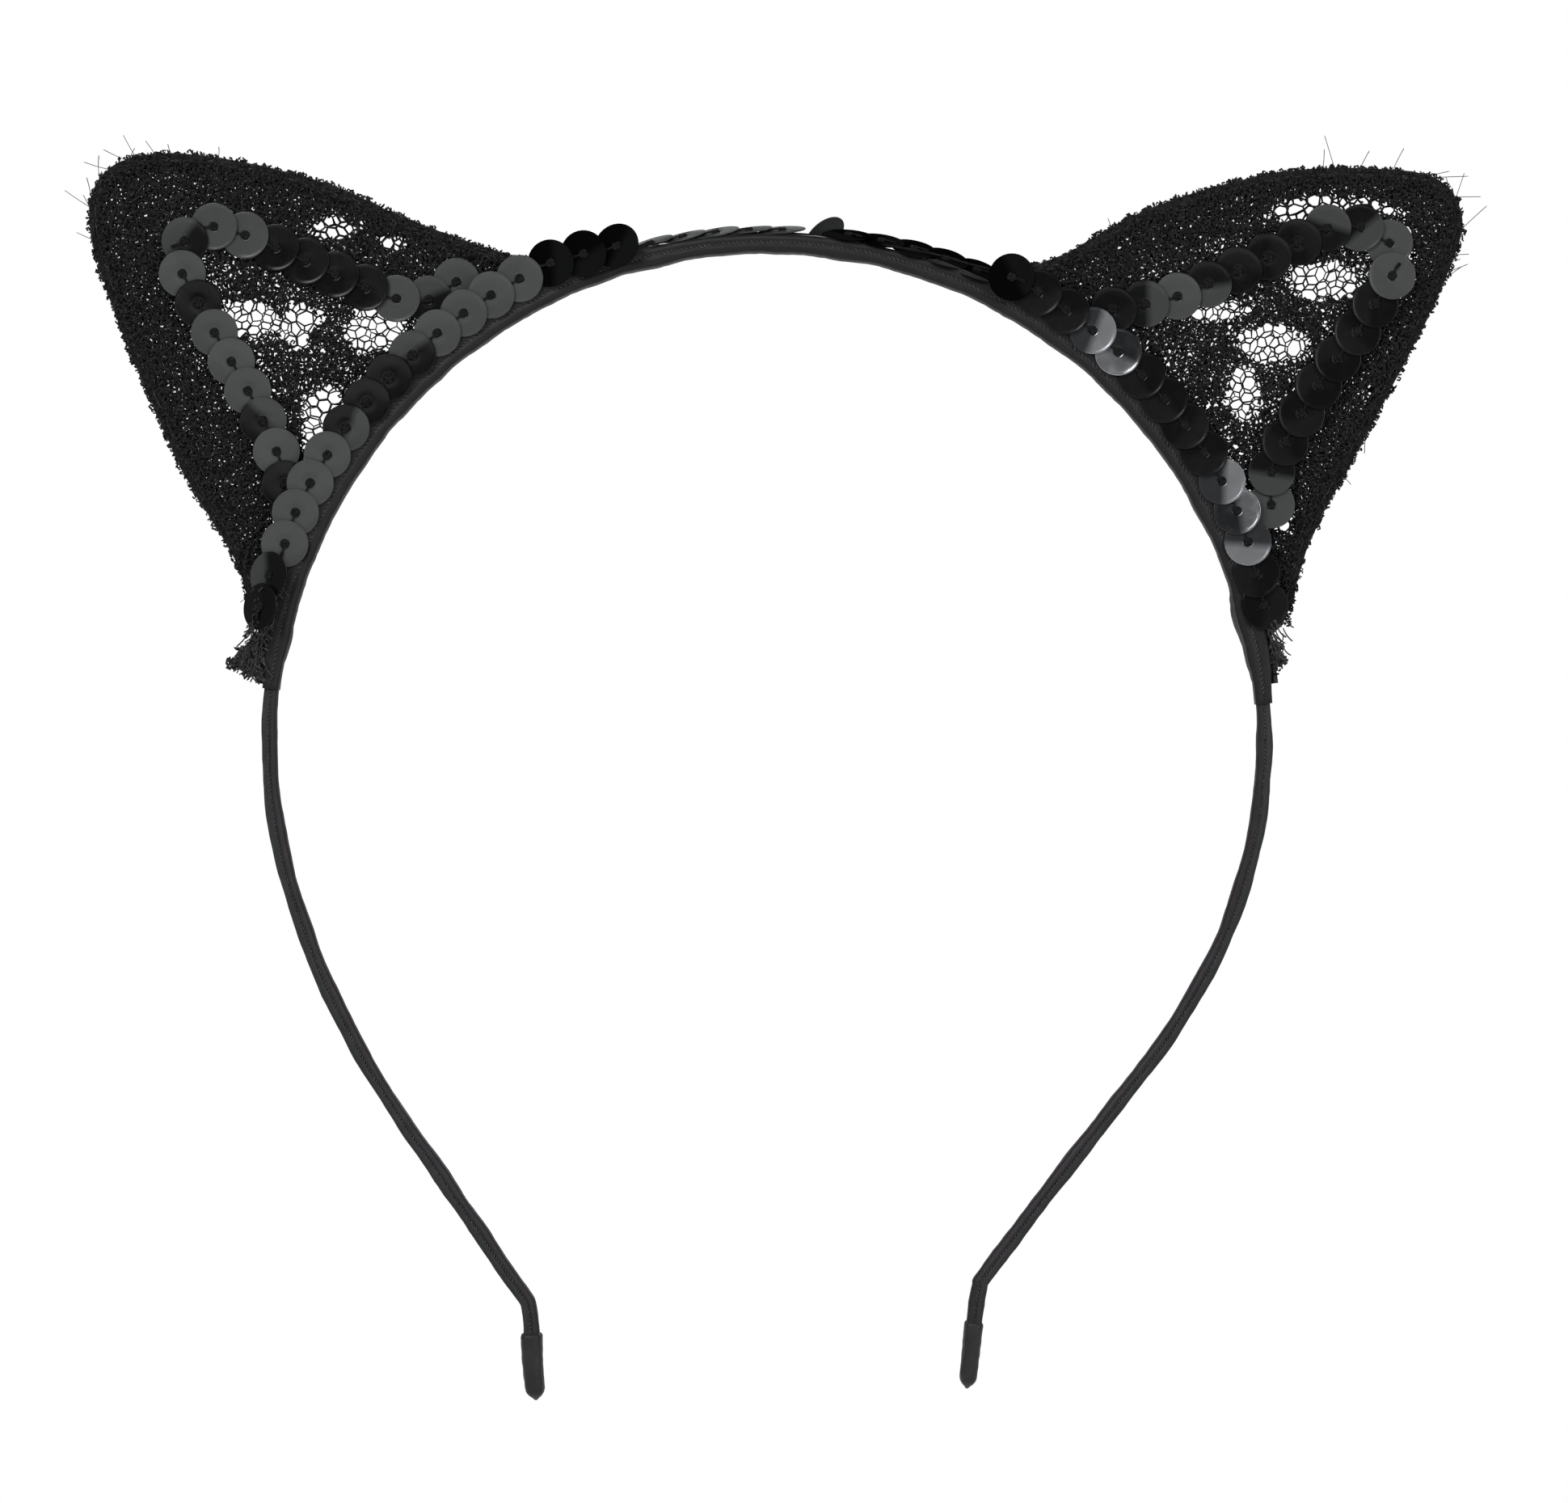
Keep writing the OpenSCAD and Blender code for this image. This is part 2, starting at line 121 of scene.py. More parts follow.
def angle_range(node):
    angles = [angle_of(v.co.x, v.co.z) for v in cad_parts[node].data.vertices]
    return min(angles), max(angles)


def polar(radius, degrees):
    return Vector((radius * math.cos(math.radians(degrees)), radius * math.sin(math.radians(degrees))))


def eased(t):
    t = min(max(t, 0.0), 1.0)
    return t * t * (3 - 2 * t)


cover_from, cover_to = angle_range("crown_cover_ribbon")
print("cover ribbon from", round(cover_from, 1), "to", round(cover_to, 1), "degrees")

# %% [markdown]
# ## Building node trees
# Geometry Nodes make everything here that repeats: net, bobbles, sequins, knots, stitches, hairs. A small
# class keeps the building of a tree readable: name the inputs once, add nodes in order, and plug sockets
# in by name. `grow` then runs a tree on a seed mesh and keeps the result as a plain mesh.

# %% Node tree helpers
class Tree:
    """A node tree with named inputs; kind is GeometryNodeTree or ShaderNodeTree."""

    def __init__(self, name, kind, inputs=(), outputs=()):
        self.tree = bpy.data.node_groups.new(name, kind)
        for label, socket, value in inputs:
            made = self.tree.interface.new_socket(label, in_out="INPUT", socket_type="NodeSocket" + socket)
            if value is not None:
                made.default_value = value
        for label, socket in outputs:
            self.tree.interface.new_socket(label, in_out="OUTPUT", socket_type="NodeSocket" + socket)
        self.given = self.tree.nodes.new("NodeGroupInput").outputs
        self.result = self.tree.nodes.new("NodeGroupOutput").inputs

    def add(self, kind, plugs=None, **settings):
        return add_node(self.tree, kind, plugs, **settings)

    def put(self, socket, label):
        self.tree.links.new(socket, self.result[label])

    def end_with(self, geometry):
        """Ends a geometry tree: real geometry, shaded smooth, in the material that was given."""
        real = self.add("GeometryNodeRealizeInstances", {"Geometry": geometry})
        smooth = self.add("GeometryNodeSetShadeSmooth", {"Geometry": real.outputs[0]})
        dressed = self.add("GeometryNodeSetMaterial", {"Geometry": smooth.outputs[0],
                                                       "Material": self.given["Material"]})
        self.put(dressed.outputs[0], "Geometry")

    def set_down(self, turn, size):
        """Sets the pattern down on every point, turned and sized, and ends the tree."""
        pattern = self.add("GeometryNodeObjectInfo", {"Object": self.given["Pattern"]})
        euler = self.add("FunctionNodeEulerToRotation", {"Euler": turn})
        placed = self.add("GeometryNodeInstanceOnPoints", {"Points": self.given["Geometry"],
                                                           "Instance": pattern.outputs["Geometry"],
                                                           "Rotation": euler.outputs[0], "Scale": size})
        self.end_with(placed.outputs[0])

    def attribute(self, name, data_type):
        return self.add("GeometryNodeInputNamedAttribute", {"Name": name}, data_type=data_type).outputs[0]


def add_node(tree, kind, plugs=None, **settings):
    """Adds a node, sets its properties, and plugs sockets or values into its inputs."""
    made = tree.nodes.new(kind)
    for key, value in settings.items():
        setattr(made, key, value)
    for key, value in (plugs or {}).items():
        if isinstance(value, bpy.types.NodeSocket):
            tree.links.new(value, made.inputs[key])
        else:
            made.inputs[key].default_value = value
    return made


def new_object(name, mesh):
    made = bpy.data.objects.new(name, mesh)
    bpy.context.scene.collection.objects.link(made)
    return made


def grow(name, seed_mesh, grower, **inputs):
    """Runs a geometry tree on a seed mesh and returns the result as a plain object at the origin."""
    seed = new_object(name + "_seed", seed_mesh)
    modifier = seed.modifiers.new("grow", "NODES")
    modifier.node_group = grower.tree
    for item in grower.tree.interface.items_tree:
        if item.in_out == "INPUT" and item.name.replace(" ", "_") in inputs:
            modifier[item.identifier] = inputs[item.name.replace(" ", "_")]
    bpy.context.view_layer.update()
    evaluated = seed.evaluated_get(bpy.context.evaluated_depsgraph_get())
    mesh = bpy.data.meshes.new_from_object(evaluated)
    mesh.name = name
    bpy.data.objects.remove(seed)
    print(f"{name}: {len(mesh.vertices)} points, {len(mesh.polygons)} faces")
    return new_object(name, mesh)


def mesh_of(name, points, faces=(), edges=()):
    mesh = bpy.data.meshes.new(name)
    mesh.from_pydata([tuple(p) for p in points], list(edges), list(faces))
    return mesh


def note(mesh, label, values, domain="POINT", kind="FLOAT"):
    """Writes one value per point, or per face, as an attribute of the mesh."""
    layer = mesh.attributes.new(label, kind, domain)
    field = "vector" if kind == "FLOAT_VECTOR" else "value"
    layer.data.foreach_set(field, np.array(values, dtype=np.float32).ravel())


# %% [markdown]
# ## Finishes
# Almost everything here is black, so the finishes differ in how they catch light. Satin ribbon is woven
# of long floats that shine along one way; crochet yarn is dull with tiny lit loops; sequins are thin
# glossy film. Grain and fuzz are built once as node groups, and each finish uses them at its own size.

# %% Shared grain and fuzz groups
grain = Tree("Grain", "ShaderNodeTree",
             [("Vector", "Vector", None), ("Size", "Float", 2000.0), ("Strength", "Float", 0.5)],
             [("Mask", "Float"), ("Height", "Float")])
grain_noise = grain.add("ShaderNodeTexNoise", {"Vector": grain.given["Vector"], "Scale": grain.given["Size"],
                                               "Detail": 4.0, "Roughness": 0.62})
grain_spread = grain.add("ShaderNodeMapRange", {"Value": grain_noise.outputs["Fac"], "From Min": 0.35,
                                                "From Max": 0.68})
grain.put(grain_spread.outputs["Result"], "Mask")
grain_height = grain.add("ShaderNodeMath", {0: grain_noise.outputs["Fac"], 1: grain.given["Strength"]},
                         operation="MULTIPLY")
grain.put(grain_height.outputs[0], "Height")

weave = Tree("Satin weave", "ShaderNodeTree",
             [("Vector", "Vector", None), ("Threads", "Float", 9.0), ("Along", "Float", 0.25)],
             [("Mask", "Float"), ("Height", "Float")])
weave_turn = weave.add("ShaderNodeMapping", {"Vector": weave.given["Vector"]})
weave_turn.inputs["Scale"].default_value = (1.0, 0.22, 1.0)
weave_noise = weave.add("ShaderNodeTexNoise", {"Vector": weave_turn.outputs["Vector"],
                                               "Scale": weave.given["Threads"], "Detail": 3.0})
weave_wave = weave.add("ShaderNodeTexWave", {"Vector": weave.given["Vector"],
                                             "Scale": weave.given["Along"], "Distortion": 1.5},
                       bands_direction="X")
weave_mix = weave.add("ShaderNodeMath", {0: weave_noise.outputs["Fac"], 1: weave_wave.outputs["Fac"]},
                      operation="ADD")
weave.put(weave_noise.outputs["Fac"], "Mask")
weave.put(weave_mix.outputs[0], "Height")
print("shared groups:", grain.tree.name, "and", weave.tree.name)


# %% The finishes themselves
def finish_named(name, **sockets):
    """A new material; the keyword values go straight on the Principled shader's sockets."""
    made = bpy.data.materials.new(name)
    made.use_nodes = True
    tree = made.node_tree
    shader = tree.nodes["Principled BSDF"]
    for key, value in sockets.items():
        shader.inputs[key.replace("_", " ")].default_value = value
    return made, tree, shader


def place_group(tree, group, vector, **values):
    made = add_node(tree, "ShaderNodeGroup", node_tree=group.tree)
    tree.links.new(vector, made.inputs["Vector"])
    for key, value in values.items():
        made.inputs[key].default_value = value
    return made


def between(tree, mask, dark, light):
    """A colour that goes from dark to light with the mask."""
    made = add_node(tree, "ShaderNodeMix", data_type="RGBA")
    tree.links.new(mask, made.inputs[0])
    made.inputs[6].default_value = (*dark, 1)
    made.inputs[7].default_value = (*light, 1)
    return made.outputs[2]


def raised(tree, shader, height, distance, strength=1.0):
    bump = add_node(tree, "ShaderNodeBump", {"Height": height, "Distance": distance, "Strength": strength})
    tree.links.new(bump.outputs["Normal"], shader.inputs["Normal"])


def yarn_finish(name, dark, light, size, roughness=0.85, sheen=0.25):
    made, tree, shader = finish_named(name, Roughness=roughness, Sheen_Weight=sheen, Sheen_Roughness=0.4,
                                      Specular_IOR_Level=0.25)
    place = add_node(tree, "ShaderNodeTexCoord").outputs["Object"]
    fuzz = place_group(tree, grain, place, Size=size, Strength=0.6)
    tree.links.new(between(tree, fuzz.outputs["Mask"], dark, light), shader.inputs["Base Color"])
    raised(tree, shader, fuzz.outputs["Height"], 0.0002)
    return made


lace_yarn = yarn_finish("Black lace yarn", (0.005, 0.005, 0.0055), (0.033, 0.032, 0.034), 2600.0)
border_yarn = yarn_finish("Black crochet yarn", (0.005, 0.005, 0.005), (0.044, 0.042, 0.043), 1900.0)
sewing_thread = yarn_finish("Black sewing thread", (0.005, 0.005, 0.005), (0.03, 0.03, 0.03), 3200.0,
                            roughness=0.85, sheen=0.05)
seam_thread = yarn_finish("Grey seam thread", (0.045, 0.045, 0.045), (0.16, 0.16, 0.155), 2800.0,
                          roughness=0.6, sheen=0.2)
frayed_yarn = yarn_finish("Frayed yarn", (0.02, 0.02, 0.02), (0.125, 0.122, 0.118), 2300.0, sheen=0.5)
print("yarns:", [m.name for m in bpy.data.materials][:8])

# %% [markdown]
# The ribbon's two plies are dyed in slightly different blacks, one a little green and one a little
# purple, so the mesh carries an attribute that says which ply each point belongs to.


# %% Satin ribbon, steel and sequin film
def ribbon_finish(name, outer, inner, roughness):
    made, tree, shader = finish_named(name, Roughness=roughness, Sheen_Weight=0.15, Anisotropic=0.35,
                                      Specular_IOR_Level=0.45)
    along = add_node(tree, "ShaderNodeUVMap", uv_map="along").outputs["UV"]
    cloth = place_group(tree, weave, along, Threads=2600.0, Along=900.0)
    ply = add_node(tree, "ShaderNodeAttribute", attribute_name="ply").outputs["Fac"]
    place = add_node(tree, "ShaderNodeTexCoord").outputs["Object"]
    worn = place_group(tree, grain, place, Size=420.0, Strength=1.0)
    one = between(tree, worn.outputs["Mask"], [c * 0.7 for c in outer], outer)
    two = between(tree, worn.outputs["Mask"], [c * 0.7 for c in inner], inner)
    mix = add_node(tree, "ShaderNodeMix", data_type="RGBA")
    tree.links.new(ply, mix.inputs[0])
    tree.links.new(two, mix.inputs[6])
    tree.links.new(one, mix.inputs[7])
    tree.links.new(mix.outputs[2], shader.inputs["Base Color"])
    raised(tree, shader, cloth.outputs["Height"], 0.00002, 0.5)
    return made


satin = ribbon_finish("Black satin ribbon", (0.052, 0.057, 0.054), (0.046, 0.039, 0.047), 0.42)
cover_satin = ribbon_finish("Black satin cover ribbon", (0.030, 0.031, 0.031), (0.024, 0.022, 0.025),
                            0.45)


def metal_finish(name, dark, light, roughness, metallic):
    made, tree, shader = finish_named(name, Metallic=metallic)
    place = add_node(tree, "ShaderNodeTexCoord").outputs["Object"]
    drawn = place_group(tree, grain, place, Size=900.0, Strength=0.4)
    tree.links.new(between(tree, drawn.outputs["Mask"], dark, light), shader.inputs["Base Color"])
    rough = add_node(tree, "ShaderNodeMapRange", {"Value": drawn.outputs["Mask"], "To Min": roughness,
                                                  "To Max": roughness + 0.15})
    tree.links.new(rough.outputs["Result"], shader.inputs["Roughness"])
    raised(tree, shader, drawn.outputs["Height"], 0.00003)
    return made


spring_steel = metal_finish("Spring steel", (0.38, 0.38, 0.4), (0.62, 0.62, 0.63), 0.3, 1.0)
wire_enamel = metal_finish("Black enamelled wire", (0.01, 0.01, 0.01), (0.05, 0.05, 0.05), 0.4, 0.0)


def sequin_finish(name, coat, gloss):
    """Glossy film with painted reflections. A tone attribute goes from 0, black, to 1, grey, where the grey is
    a painted reflection of the light; silver is 1 where the film is metallic, with a painted highlight for its
    colour. Each disc is split as if it caught the edge of a light: the half on the painted lit side has a
    second, painted lit tone."""
    made, tree, shader = finish_named(name, Coat_Weight=coat, Coat_Roughness=0.06, Specular_IOR_Level=gloss)
    tone, silver, second = (add_node(tree, "ShaderNodeAttribute", attribute_name=label).outputs["Fac"]
                            for label in ("tone", "silver", "second"))
    spot, lit = (add_node(tree, "ShaderNodeAttribute", attribute_name=label).outputs["Vector"]
                 for label in ("spot", "lit"))
    # Painted highlight: which half of each disc lies on its painted lit side.
    side = add_node(tree, "ShaderNodeVectorMath", {0: spot, 1: lit}, operation="DOT_PRODUCT")
    painted_lit_half = add_node(tree, "ShaderNodeMapRange", {"Value": side.outputs["Value"], "From Min": -0.05,
                                                   "From Max": 0.3})
    tone_with_painted_half = add_node(tree, "ShaderNodeMix", data_type="FLOAT")
    tree.links.new(painted_lit_half.outputs["Result"], tone_with_painted_half.inputs[0])
    tree.links.new(tone, tone_with_painted_half.inputs[2])
    tree.links.new(second, tone_with_painted_half.inputs[3])
    place = add_node(tree, "ShaderNodeTexCoord").outputs["Object"]
    rubbed = place_group(tree, grain, place, Size=700.0, Strength=0.5)
    # Painted highlight on silver discs: dark on one half, bright on the painted lit half.
    painted_mirror_highlight = between(tree, painted_lit_half.outputs["Result"], (0.13, 0.14, 0.15), (0.85, 0.88, 0.92))
    # Painted reflection: the film goes from black to a grey that stands in for the reflection of the light.
    plain = between(tree, tone_with_painted_half.outputs[0], (0.004, 0.004, 0.0045), (0.118, 0.124, 0.123))
    bright = add_node(tree, "ShaderNodeMix", data_type="RGBA")
    tree.links.new(silver, bright.inputs[0])
    tree.links.new(plain, bright.inputs[6])
    tree.links.new(painted_mirror_highlight, bright.inputs[7])
    tree.links.new(bright.outputs[2], shader.inputs["Base Color"])
    tree.links.new(silver, shader.inputs["Metallic"])
    rough = add_node(tree, "ShaderNodeMapRange", {"Value": rubbed.outputs["Mask"], "To Min": 0.13,
                                                  "To Max": 0.24})
    tree.links.new(rough.outputs["Result"], shader.inputs["Roughness"])
    raised(tree, shader, rubbed.outputs["Height"], 0.00002, 0.5)
    return made


sequin_film = sequin_finish("Black sequin film", 0.2, 0.35)
rubbed_film = sequin_finish("Rubbed sequin film", 0.0, 0.0)
print("finishes:", len(bpy.data.materials))

# %% [markdown]
# ## The wrapped arms
# A narrow satin ribbon is wrapped round the steel and its two edges meet along the front of the band,
# where a machine has oversewn them. Extruding a box would give dead straight edges, so the ribbon is
# swept: a small loop of points is carried along the arm's middle line, and noise makes it swell, shrink
# and pucker a little on the way, as hand-wrapped ribbon does.


# %% Middle lines of the arms
BAND_MIDDLE = 63.15 * MM
STEP = 0.7 * MM


def arm_line(node, split):
    """The sleeve's middle line from the split to the tip, read off its outline."""
    loop = flat_outline(node)
    n = len(loop)
    start = min(range(n), key=lambda i: ((loop[i] + loop[(i + 1) % n]) / 2 - split).length)
    return [(loop[(start + 1 + k) % n] + loop[(start - k) % n]) / 2 for k in range(n // 2)]


def resampled(points, step):
    """Even points along a chain."""
    lengths = [0.0]
    for a, b in zip(points, points[1:]):
        lengths.append(lengths[-1] + (b - a).length)
    count, even, j = max(2, round(lengths[-1] / step)), [], 0
    for k in range(count + 1):
        s = lengths[-1] * k / count
        while j < len(points) - 2 and lengths[j + 1] < s:
            j += 1
        t = (s - lengths[j]) / max(lengths[j + 1] - lengths[j], 1e-12)
        even.append(points[j].lerp(points[j + 1], min(t, 1.0)))
    return even


def smoothed(points, step):
    """Even points along a smooth curve through the given ones."""
    fine = []
    for i in range(len(points) - 1):
        a, b, c, d = (points[max(i - 1, 0)], points[i], points[i + 1], points[min(i + 2, len(points) - 1)])
        for k in range(8):
            t = k / 8
            fine.append(0.5 * (2 * b + (c - a) * t + (2 * a - 5 * b + 4 * c - d) * t * t
                               + (3 * b - a - 3 * c + d) * t ** 3))
    return resampled(fine + [points[-1]], step)


SIDES = ("left", "right")
SPLIT = {"left": 176.5, "right": 2.5}
# +1 where the head lies to the right of a line that runs down the arm, -1 where it lies to the left.
OUTWARD = {"left": -1, "right": 1}
splits = {side: polar(BAND_MIDDLE, SPLIT[side]) for side in SIDES}
arms = {side: arm_line(f"ribbon_{side}_arm", splits[side]) for side in SIDES}
print("arms start", [round((arms[side][0] - splits[side]).length / MM, 3) for side in SIDES],
      "mm from the splits")


# %% Sweep a section along a line
def wobble(x, y, seed):
    return noise.noise(Vector((x, y, seed)))


def sweep(name, line, section, outward):
    """Carries section(s, share) along a line in the plan; the section gives (out, y, ply) for each point.
    outward is +1 where the line's left-hand side faces away from the head."""
    n = len(line)
    points, plies, ring_at, s = [], [], [], 0.0
    for k, p in enumerate(line):
        if k:
            s += (p - line[k - 1]).length
        ahead = (line[min(k + 1, n - 1)] - line[max(k - 1, 0)]).normalized()
        out = Vector((-ahead.y, ahead.x)) * outward
        loop = section(s, k / (n - 1))
        ring_at.append(s)
        for r, y, ply in loop:
            q = p + out * r
            points.append((q.x, y, q.y))
            plies.append(ply)
    m = len(loop)
    faces = [(k * m + i, k * m + (i + 1) % m, (k + 1) * m + (i + 1) % m, (k + 1) * m + i)
             for k in range(n - 1) for i in range(m)]
    faces += [tuple(range(m))[::-1], tuple((n - 1) * m + i for i in range(m))]
    mesh = mesh_of(name, points, faces)
    note(mesh, "ply", plies)
    layer = mesh.uv_layers.new(name="along")
    for face in mesh.polygons:
        for corner in face.loop_indices:
            v = mesh.loops[corner].vertex_index
            layer.data[corner].uv = ((v % m) / m * 15 * MM, ring_at[v // m])
    straighten(mesh)
    mesh.polygons.foreach_set("use_smooth", [True] * len(mesh.polygons))
    return mesh


def straighten(mesh):
    """Turns all faces outwards."""
    bm = bmesh.new()
    bm.from_mesh(mesh)
    bmesh.ops.recalc_face_normals(bm, faces=bm.faces)
    bm.to_mesh(mesh)
    bm.free()


def dress(mesh_or_object, name, material):
    """An object with this mesh in one material; an object may be given instead of its mesh."""
    is_object = isinstance(mesh_or_object, bpy.types.Object)
    made = mesh_or_object if is_object else new_object(name, mesh_or_object)
    made.data.materials.clear()
    made.data.materials.append(material)
    return made


def wrapped_section(seed, thick=0.8, wide=3.0, plumper=0.22):
    """The ribbon round the steel: two plies whose edges meet in a groove at the front. It starts thin, under
    the cover ribbon, and grows plumper further down the arm."""
    half = [(0.97, -0.93), (1.0, -0.6), (1.02, -0.2), (1.02, 0.2), (1.0, 0.6), (0.97, 0.93), (0.62, 1.0)]

    def section(s, share):
        x = s / MM
        plump = 1 + plumper * eased((x - 6) / 5)
        swell = plump * (1 + 0.16 * wobble(x * 0.16, 0, seed) + 0.04 * wobble(x * 0.9, 3, seed))
        shift = 0.16 * wobble(x * 0.13, 7, seed) * eased((x - 6) / 5)
        loop = []
        for r, y in half:
            pucker = 0.05 * wobble(x * 0.55, y * 2, seed + 5)
            loop.append((r * thick * swell + shift + pucker, y * wide, 1.0))
        for r, y in half[::-1]:
            pucker = 0.05 * wobble(x * 0.55, y * 2, seed + 9)
            loop.append((-r * thick * swell + shift + pucker, y * wide, 0.0))
        lip = wide * (1.02 + 0.012 * wobble(x * 1.3, 1, seed))
        loop += [(-0.72 * thick + shift, -wide, 0.0), (-0.38 * thick + shift, -lip, 0.0),
                 (-0.10 * thick + shift, -lip + 0.04, 0.0), (shift, -wide + 0.22, 0.5),
                 (0.10 * thick + shift, -lip + 0.04, 1.0), (0.38 * thick + shift, -lip, 1.0),
                 (0.72 * thick + shift, -wide, 1.0)]
        return [(r * MM, y * MM, ply) for r, y, ply in loop]

    return section


def arc_line(radius, start, stop, step):
    count = max(2, round(abs(math.radians(stop - start)) * radius / step))
    return [polar(radius, start + (stop - start) * k / count) for k in range(count + 1)]


def rounded(line, passes):
    """The same line with its corners rounded off by averaging neighbours."""
    for _ in range(passes):
        line = [line[0]] + [(a + 2 * b + c) / 4 for a, b, c in zip(line, line[1:], line[2:])] + [line[-1]]
    return line


COVER_OVERLAP = 4.0
ROUNDING = 14


def swept(name, line, section, outward, material):
    """A ribbon piece: the section swept along the line, in its material."""
    return dress(sweep(name, line, section, outward), name, material)


lines, wraps = {}, {}
for side, start, stop, seed in (("left", cover_to - COVER_OVERLAP, 176.3, 1.5),
                                ("right", cover_from + COVER_OVERLAP, 2.7, 4.5)):
    under_cover = arc_line(BAND_MIDDLE, start, stop, 3 * MM)
    lines[side] = rounded(smoothed(under_cover + arms[side][1:], STEP), ROUNDING)
    wraps[side] = swept(f"{side}_arm_ribbon", lines[side], wrapped_section(seed), OUTWARD[side], satin)
crown_line = arc_line(BAND_MIDDLE, cover_from + COVER_OVERLAP + 1, cover_to - COVER_OVERLAP - 1, 2.2 * MM)
crown_wrap = swept("crown_ribbon", crown_line, wrapped_section(8.5, 0.74, 2.9, 0), -1, satin)
print("ribbon pieces:", wraps["left"].name, wraps["right"].name, crown_wrap.name)

# %% [markdown]
# ## The cover ribbon on the crown
# Round the crown a wider ribbon hides the feet of the wires. It is folded up from the inside like a
# gutter, and over the top of the head its two lips meet. One loop of points does both: the lips' points
# stand up at the sides and slide together over the top between two angles.

# %% Sweep the folded gutter
TOP_CLOSED = (71.5, 103.0)
INNER_FACE, OUTER_LIP, TOP_FACE = -1.16, 1.48, 1.15


def gutter_section(s, share):
    angle = cover_from + (cover_to - cover_from) * share
    closed = eased((angle - TOP_CLOSED[0] + 1.5) / 3) * eased((TOP_CLOSED[1] + 1.5 - angle) / 3)
    x = s / MM
    from_end = min(x, math.radians(cover_to - cover_from) * BAND_MIDDLE / MM - x)
    bulge = 0.85 * math.exp(-((x - 11.5) / 3.2) ** 2) + 0.3 * math.exp(-((from_end - 6) / 3) ** 2)
    folds = 0.26 * (0.5 + wobble(x * 0.17, 7, 41)) * eased(from_end / 6)
    thin = 1 - 0.3 * eased((7 - from_end) / 7)
    crease = 0.10 * wobble(x * 0.33, 2, 21) + 0.07 * wobble(x * 1.1, 5, 22)
    tuck = 0.12 * eased((12 - from_end) / 8) * wobble(x * 1.6, 1, 23)

    def lip(open_at, closed_at, side):
        r = open_at[0] + (closed_at[0] - open_at[0]) * closed
        y = open_at[1] + (closed_at[1] - open_at[1]) * closed
        return r + 0.06 * wobble(x * 0.8, side, 31), side * y, 0.5 + side * 0.5

    def wall(r, y, side):
        puff = 0.07 * wobble(x * 0.6, r * 1.5 + side * 4, 33)
        low = (0.6 * bulge + folds) * eased(-r)
        return r + crease + tuck - low, side * (y + puff), 0.5 + side * 0.5

    front = [lip((OUTER_LIP, 3.17), (TOP_FACE, 0.14), -1), lip((1.46, 3.28), (TOP_FACE, 1.2), -1),
             lip((1.3, 3.36), (TOP_FACE, 2.4), -1), wall(0.95, 3.38, -1), wall(0.5, 3.43, -1),
             wall(0.12, 3.42, -1), wall(0.0, 3.3, -1), wall(-0.12, 3.42, -1), wall(-0.55, 3.42, -1),
             wall(-0.98, 3.28, -1)]
    middle = [(INNER_FACE - bulge * (0.6 + 0.4 * math.cos(y)) - max(folds, 0) + crease + tuck
               + 0.05 * wobble(x * 0.7, y, 35), y, 0.2) for y in (-2.7, -1.4, 0.0, 1.4, 2.7)]
    back = [(r, -y, 1 - ply) for r, y, ply in front[::-1]]
    inside = [(lip((1.5, 3.08), (0.9, 0.14), 1)), (lip((1.1, 3.06), (0.9, 2.8), 1)),
              (-0.86 + crease, 3.04, 0.5), (-0.88 + crease, 0.0, 0.5), (-0.86 + crease, -3.04, 0.5),
              (lip((1.1, 3.06), (0.9, 2.8), -1)), (lip((1.5, 3.08), (0.9, 0.14), -1))]
    # Both ends flatten against the band.
    return [(math.copysign(max(abs(r) * thin, min(abs(r), 1.0)), r) * MM, y * MM, ply)
            for r, y, ply in front + middle + back + inside]


cover_line = arc_line(BAND_MIDDLE, cover_from, cover_to, STEP)
cover = swept("crown_cover", cover_line, gutter_section, -1, cover_satin)
print("cover ribbon:", len(cover.data.polygons), "faces")

# %% [markdown]
# ## Folded ribbon ends
# Each arm ends in a short pocket of the same ribbon, folded over the end of the steel. It starts with an
# open lip, hugs the band, and narrows to a blunt end. The arm's own sweep helper makes it, with rings
# that grow and shrink along the way.


# %% Sweep the two pockets
CAP_BEFORE, CAP_BEYOND = 6.7 * MM, 1.85 * MM


def cap_section(seed, lean, lips=0.52):
    def section(s, share):
        mouth = eased(share / 0.04)
        taper = 1 - 0.13 * share
        closing = math.sqrt(max(1 - eased((share - 0.80) / 0.2) ** 2, 0.02))
        thick = (0.86 + lips * mouth) * taper * closing
        wide = (3.05 + 0.5 * mouth) * (1 - 0.05 * share) * (0.35 + 0.65 * closing)
        x = s / MM
        loop = []
        for k in range(28):
            a = 2 * math.pi * k / 28
            c, d = math.cos(a), math.sin(a)
            r = thick * math.copysign(abs(c) ** 0.45, c)
            y = wide * math.copysign(abs(d) ** 0.45, d)
            fold = 0.07 * wobble(y * 1.5, x * 0.25, seed) + 0.05 * wobble(y * 0.8 + c, x * 1.3, seed + 3)
            loop.append(((r + fold * math.copysign(1, c) + lean * share ** 2) * MM, y * MM, 0.6 + 0.4 * c))
        return loop

    return section


def cap_line(line):
    ahead = (line[-1] - line[-4]).normalized()
    first = line[-1] - ahead * CAP_BEFORE
    count = 34
    return [first + ahead * (CAP_BEFORE + CAP_BEYOND) * k / count for k in range(count + 1)]


cap_sections = {"left": cap_section(41, -0.35), "right": cap_section(47, -0.1, 0.34)}
caps = {side: swept(f"{side}_tip_fold", cap_line(lines[side]), cap_sections[side], OUTWARD[side], satin)
        for side in SIDES}
print("tips:", [cap.name for cap in caps.values()])
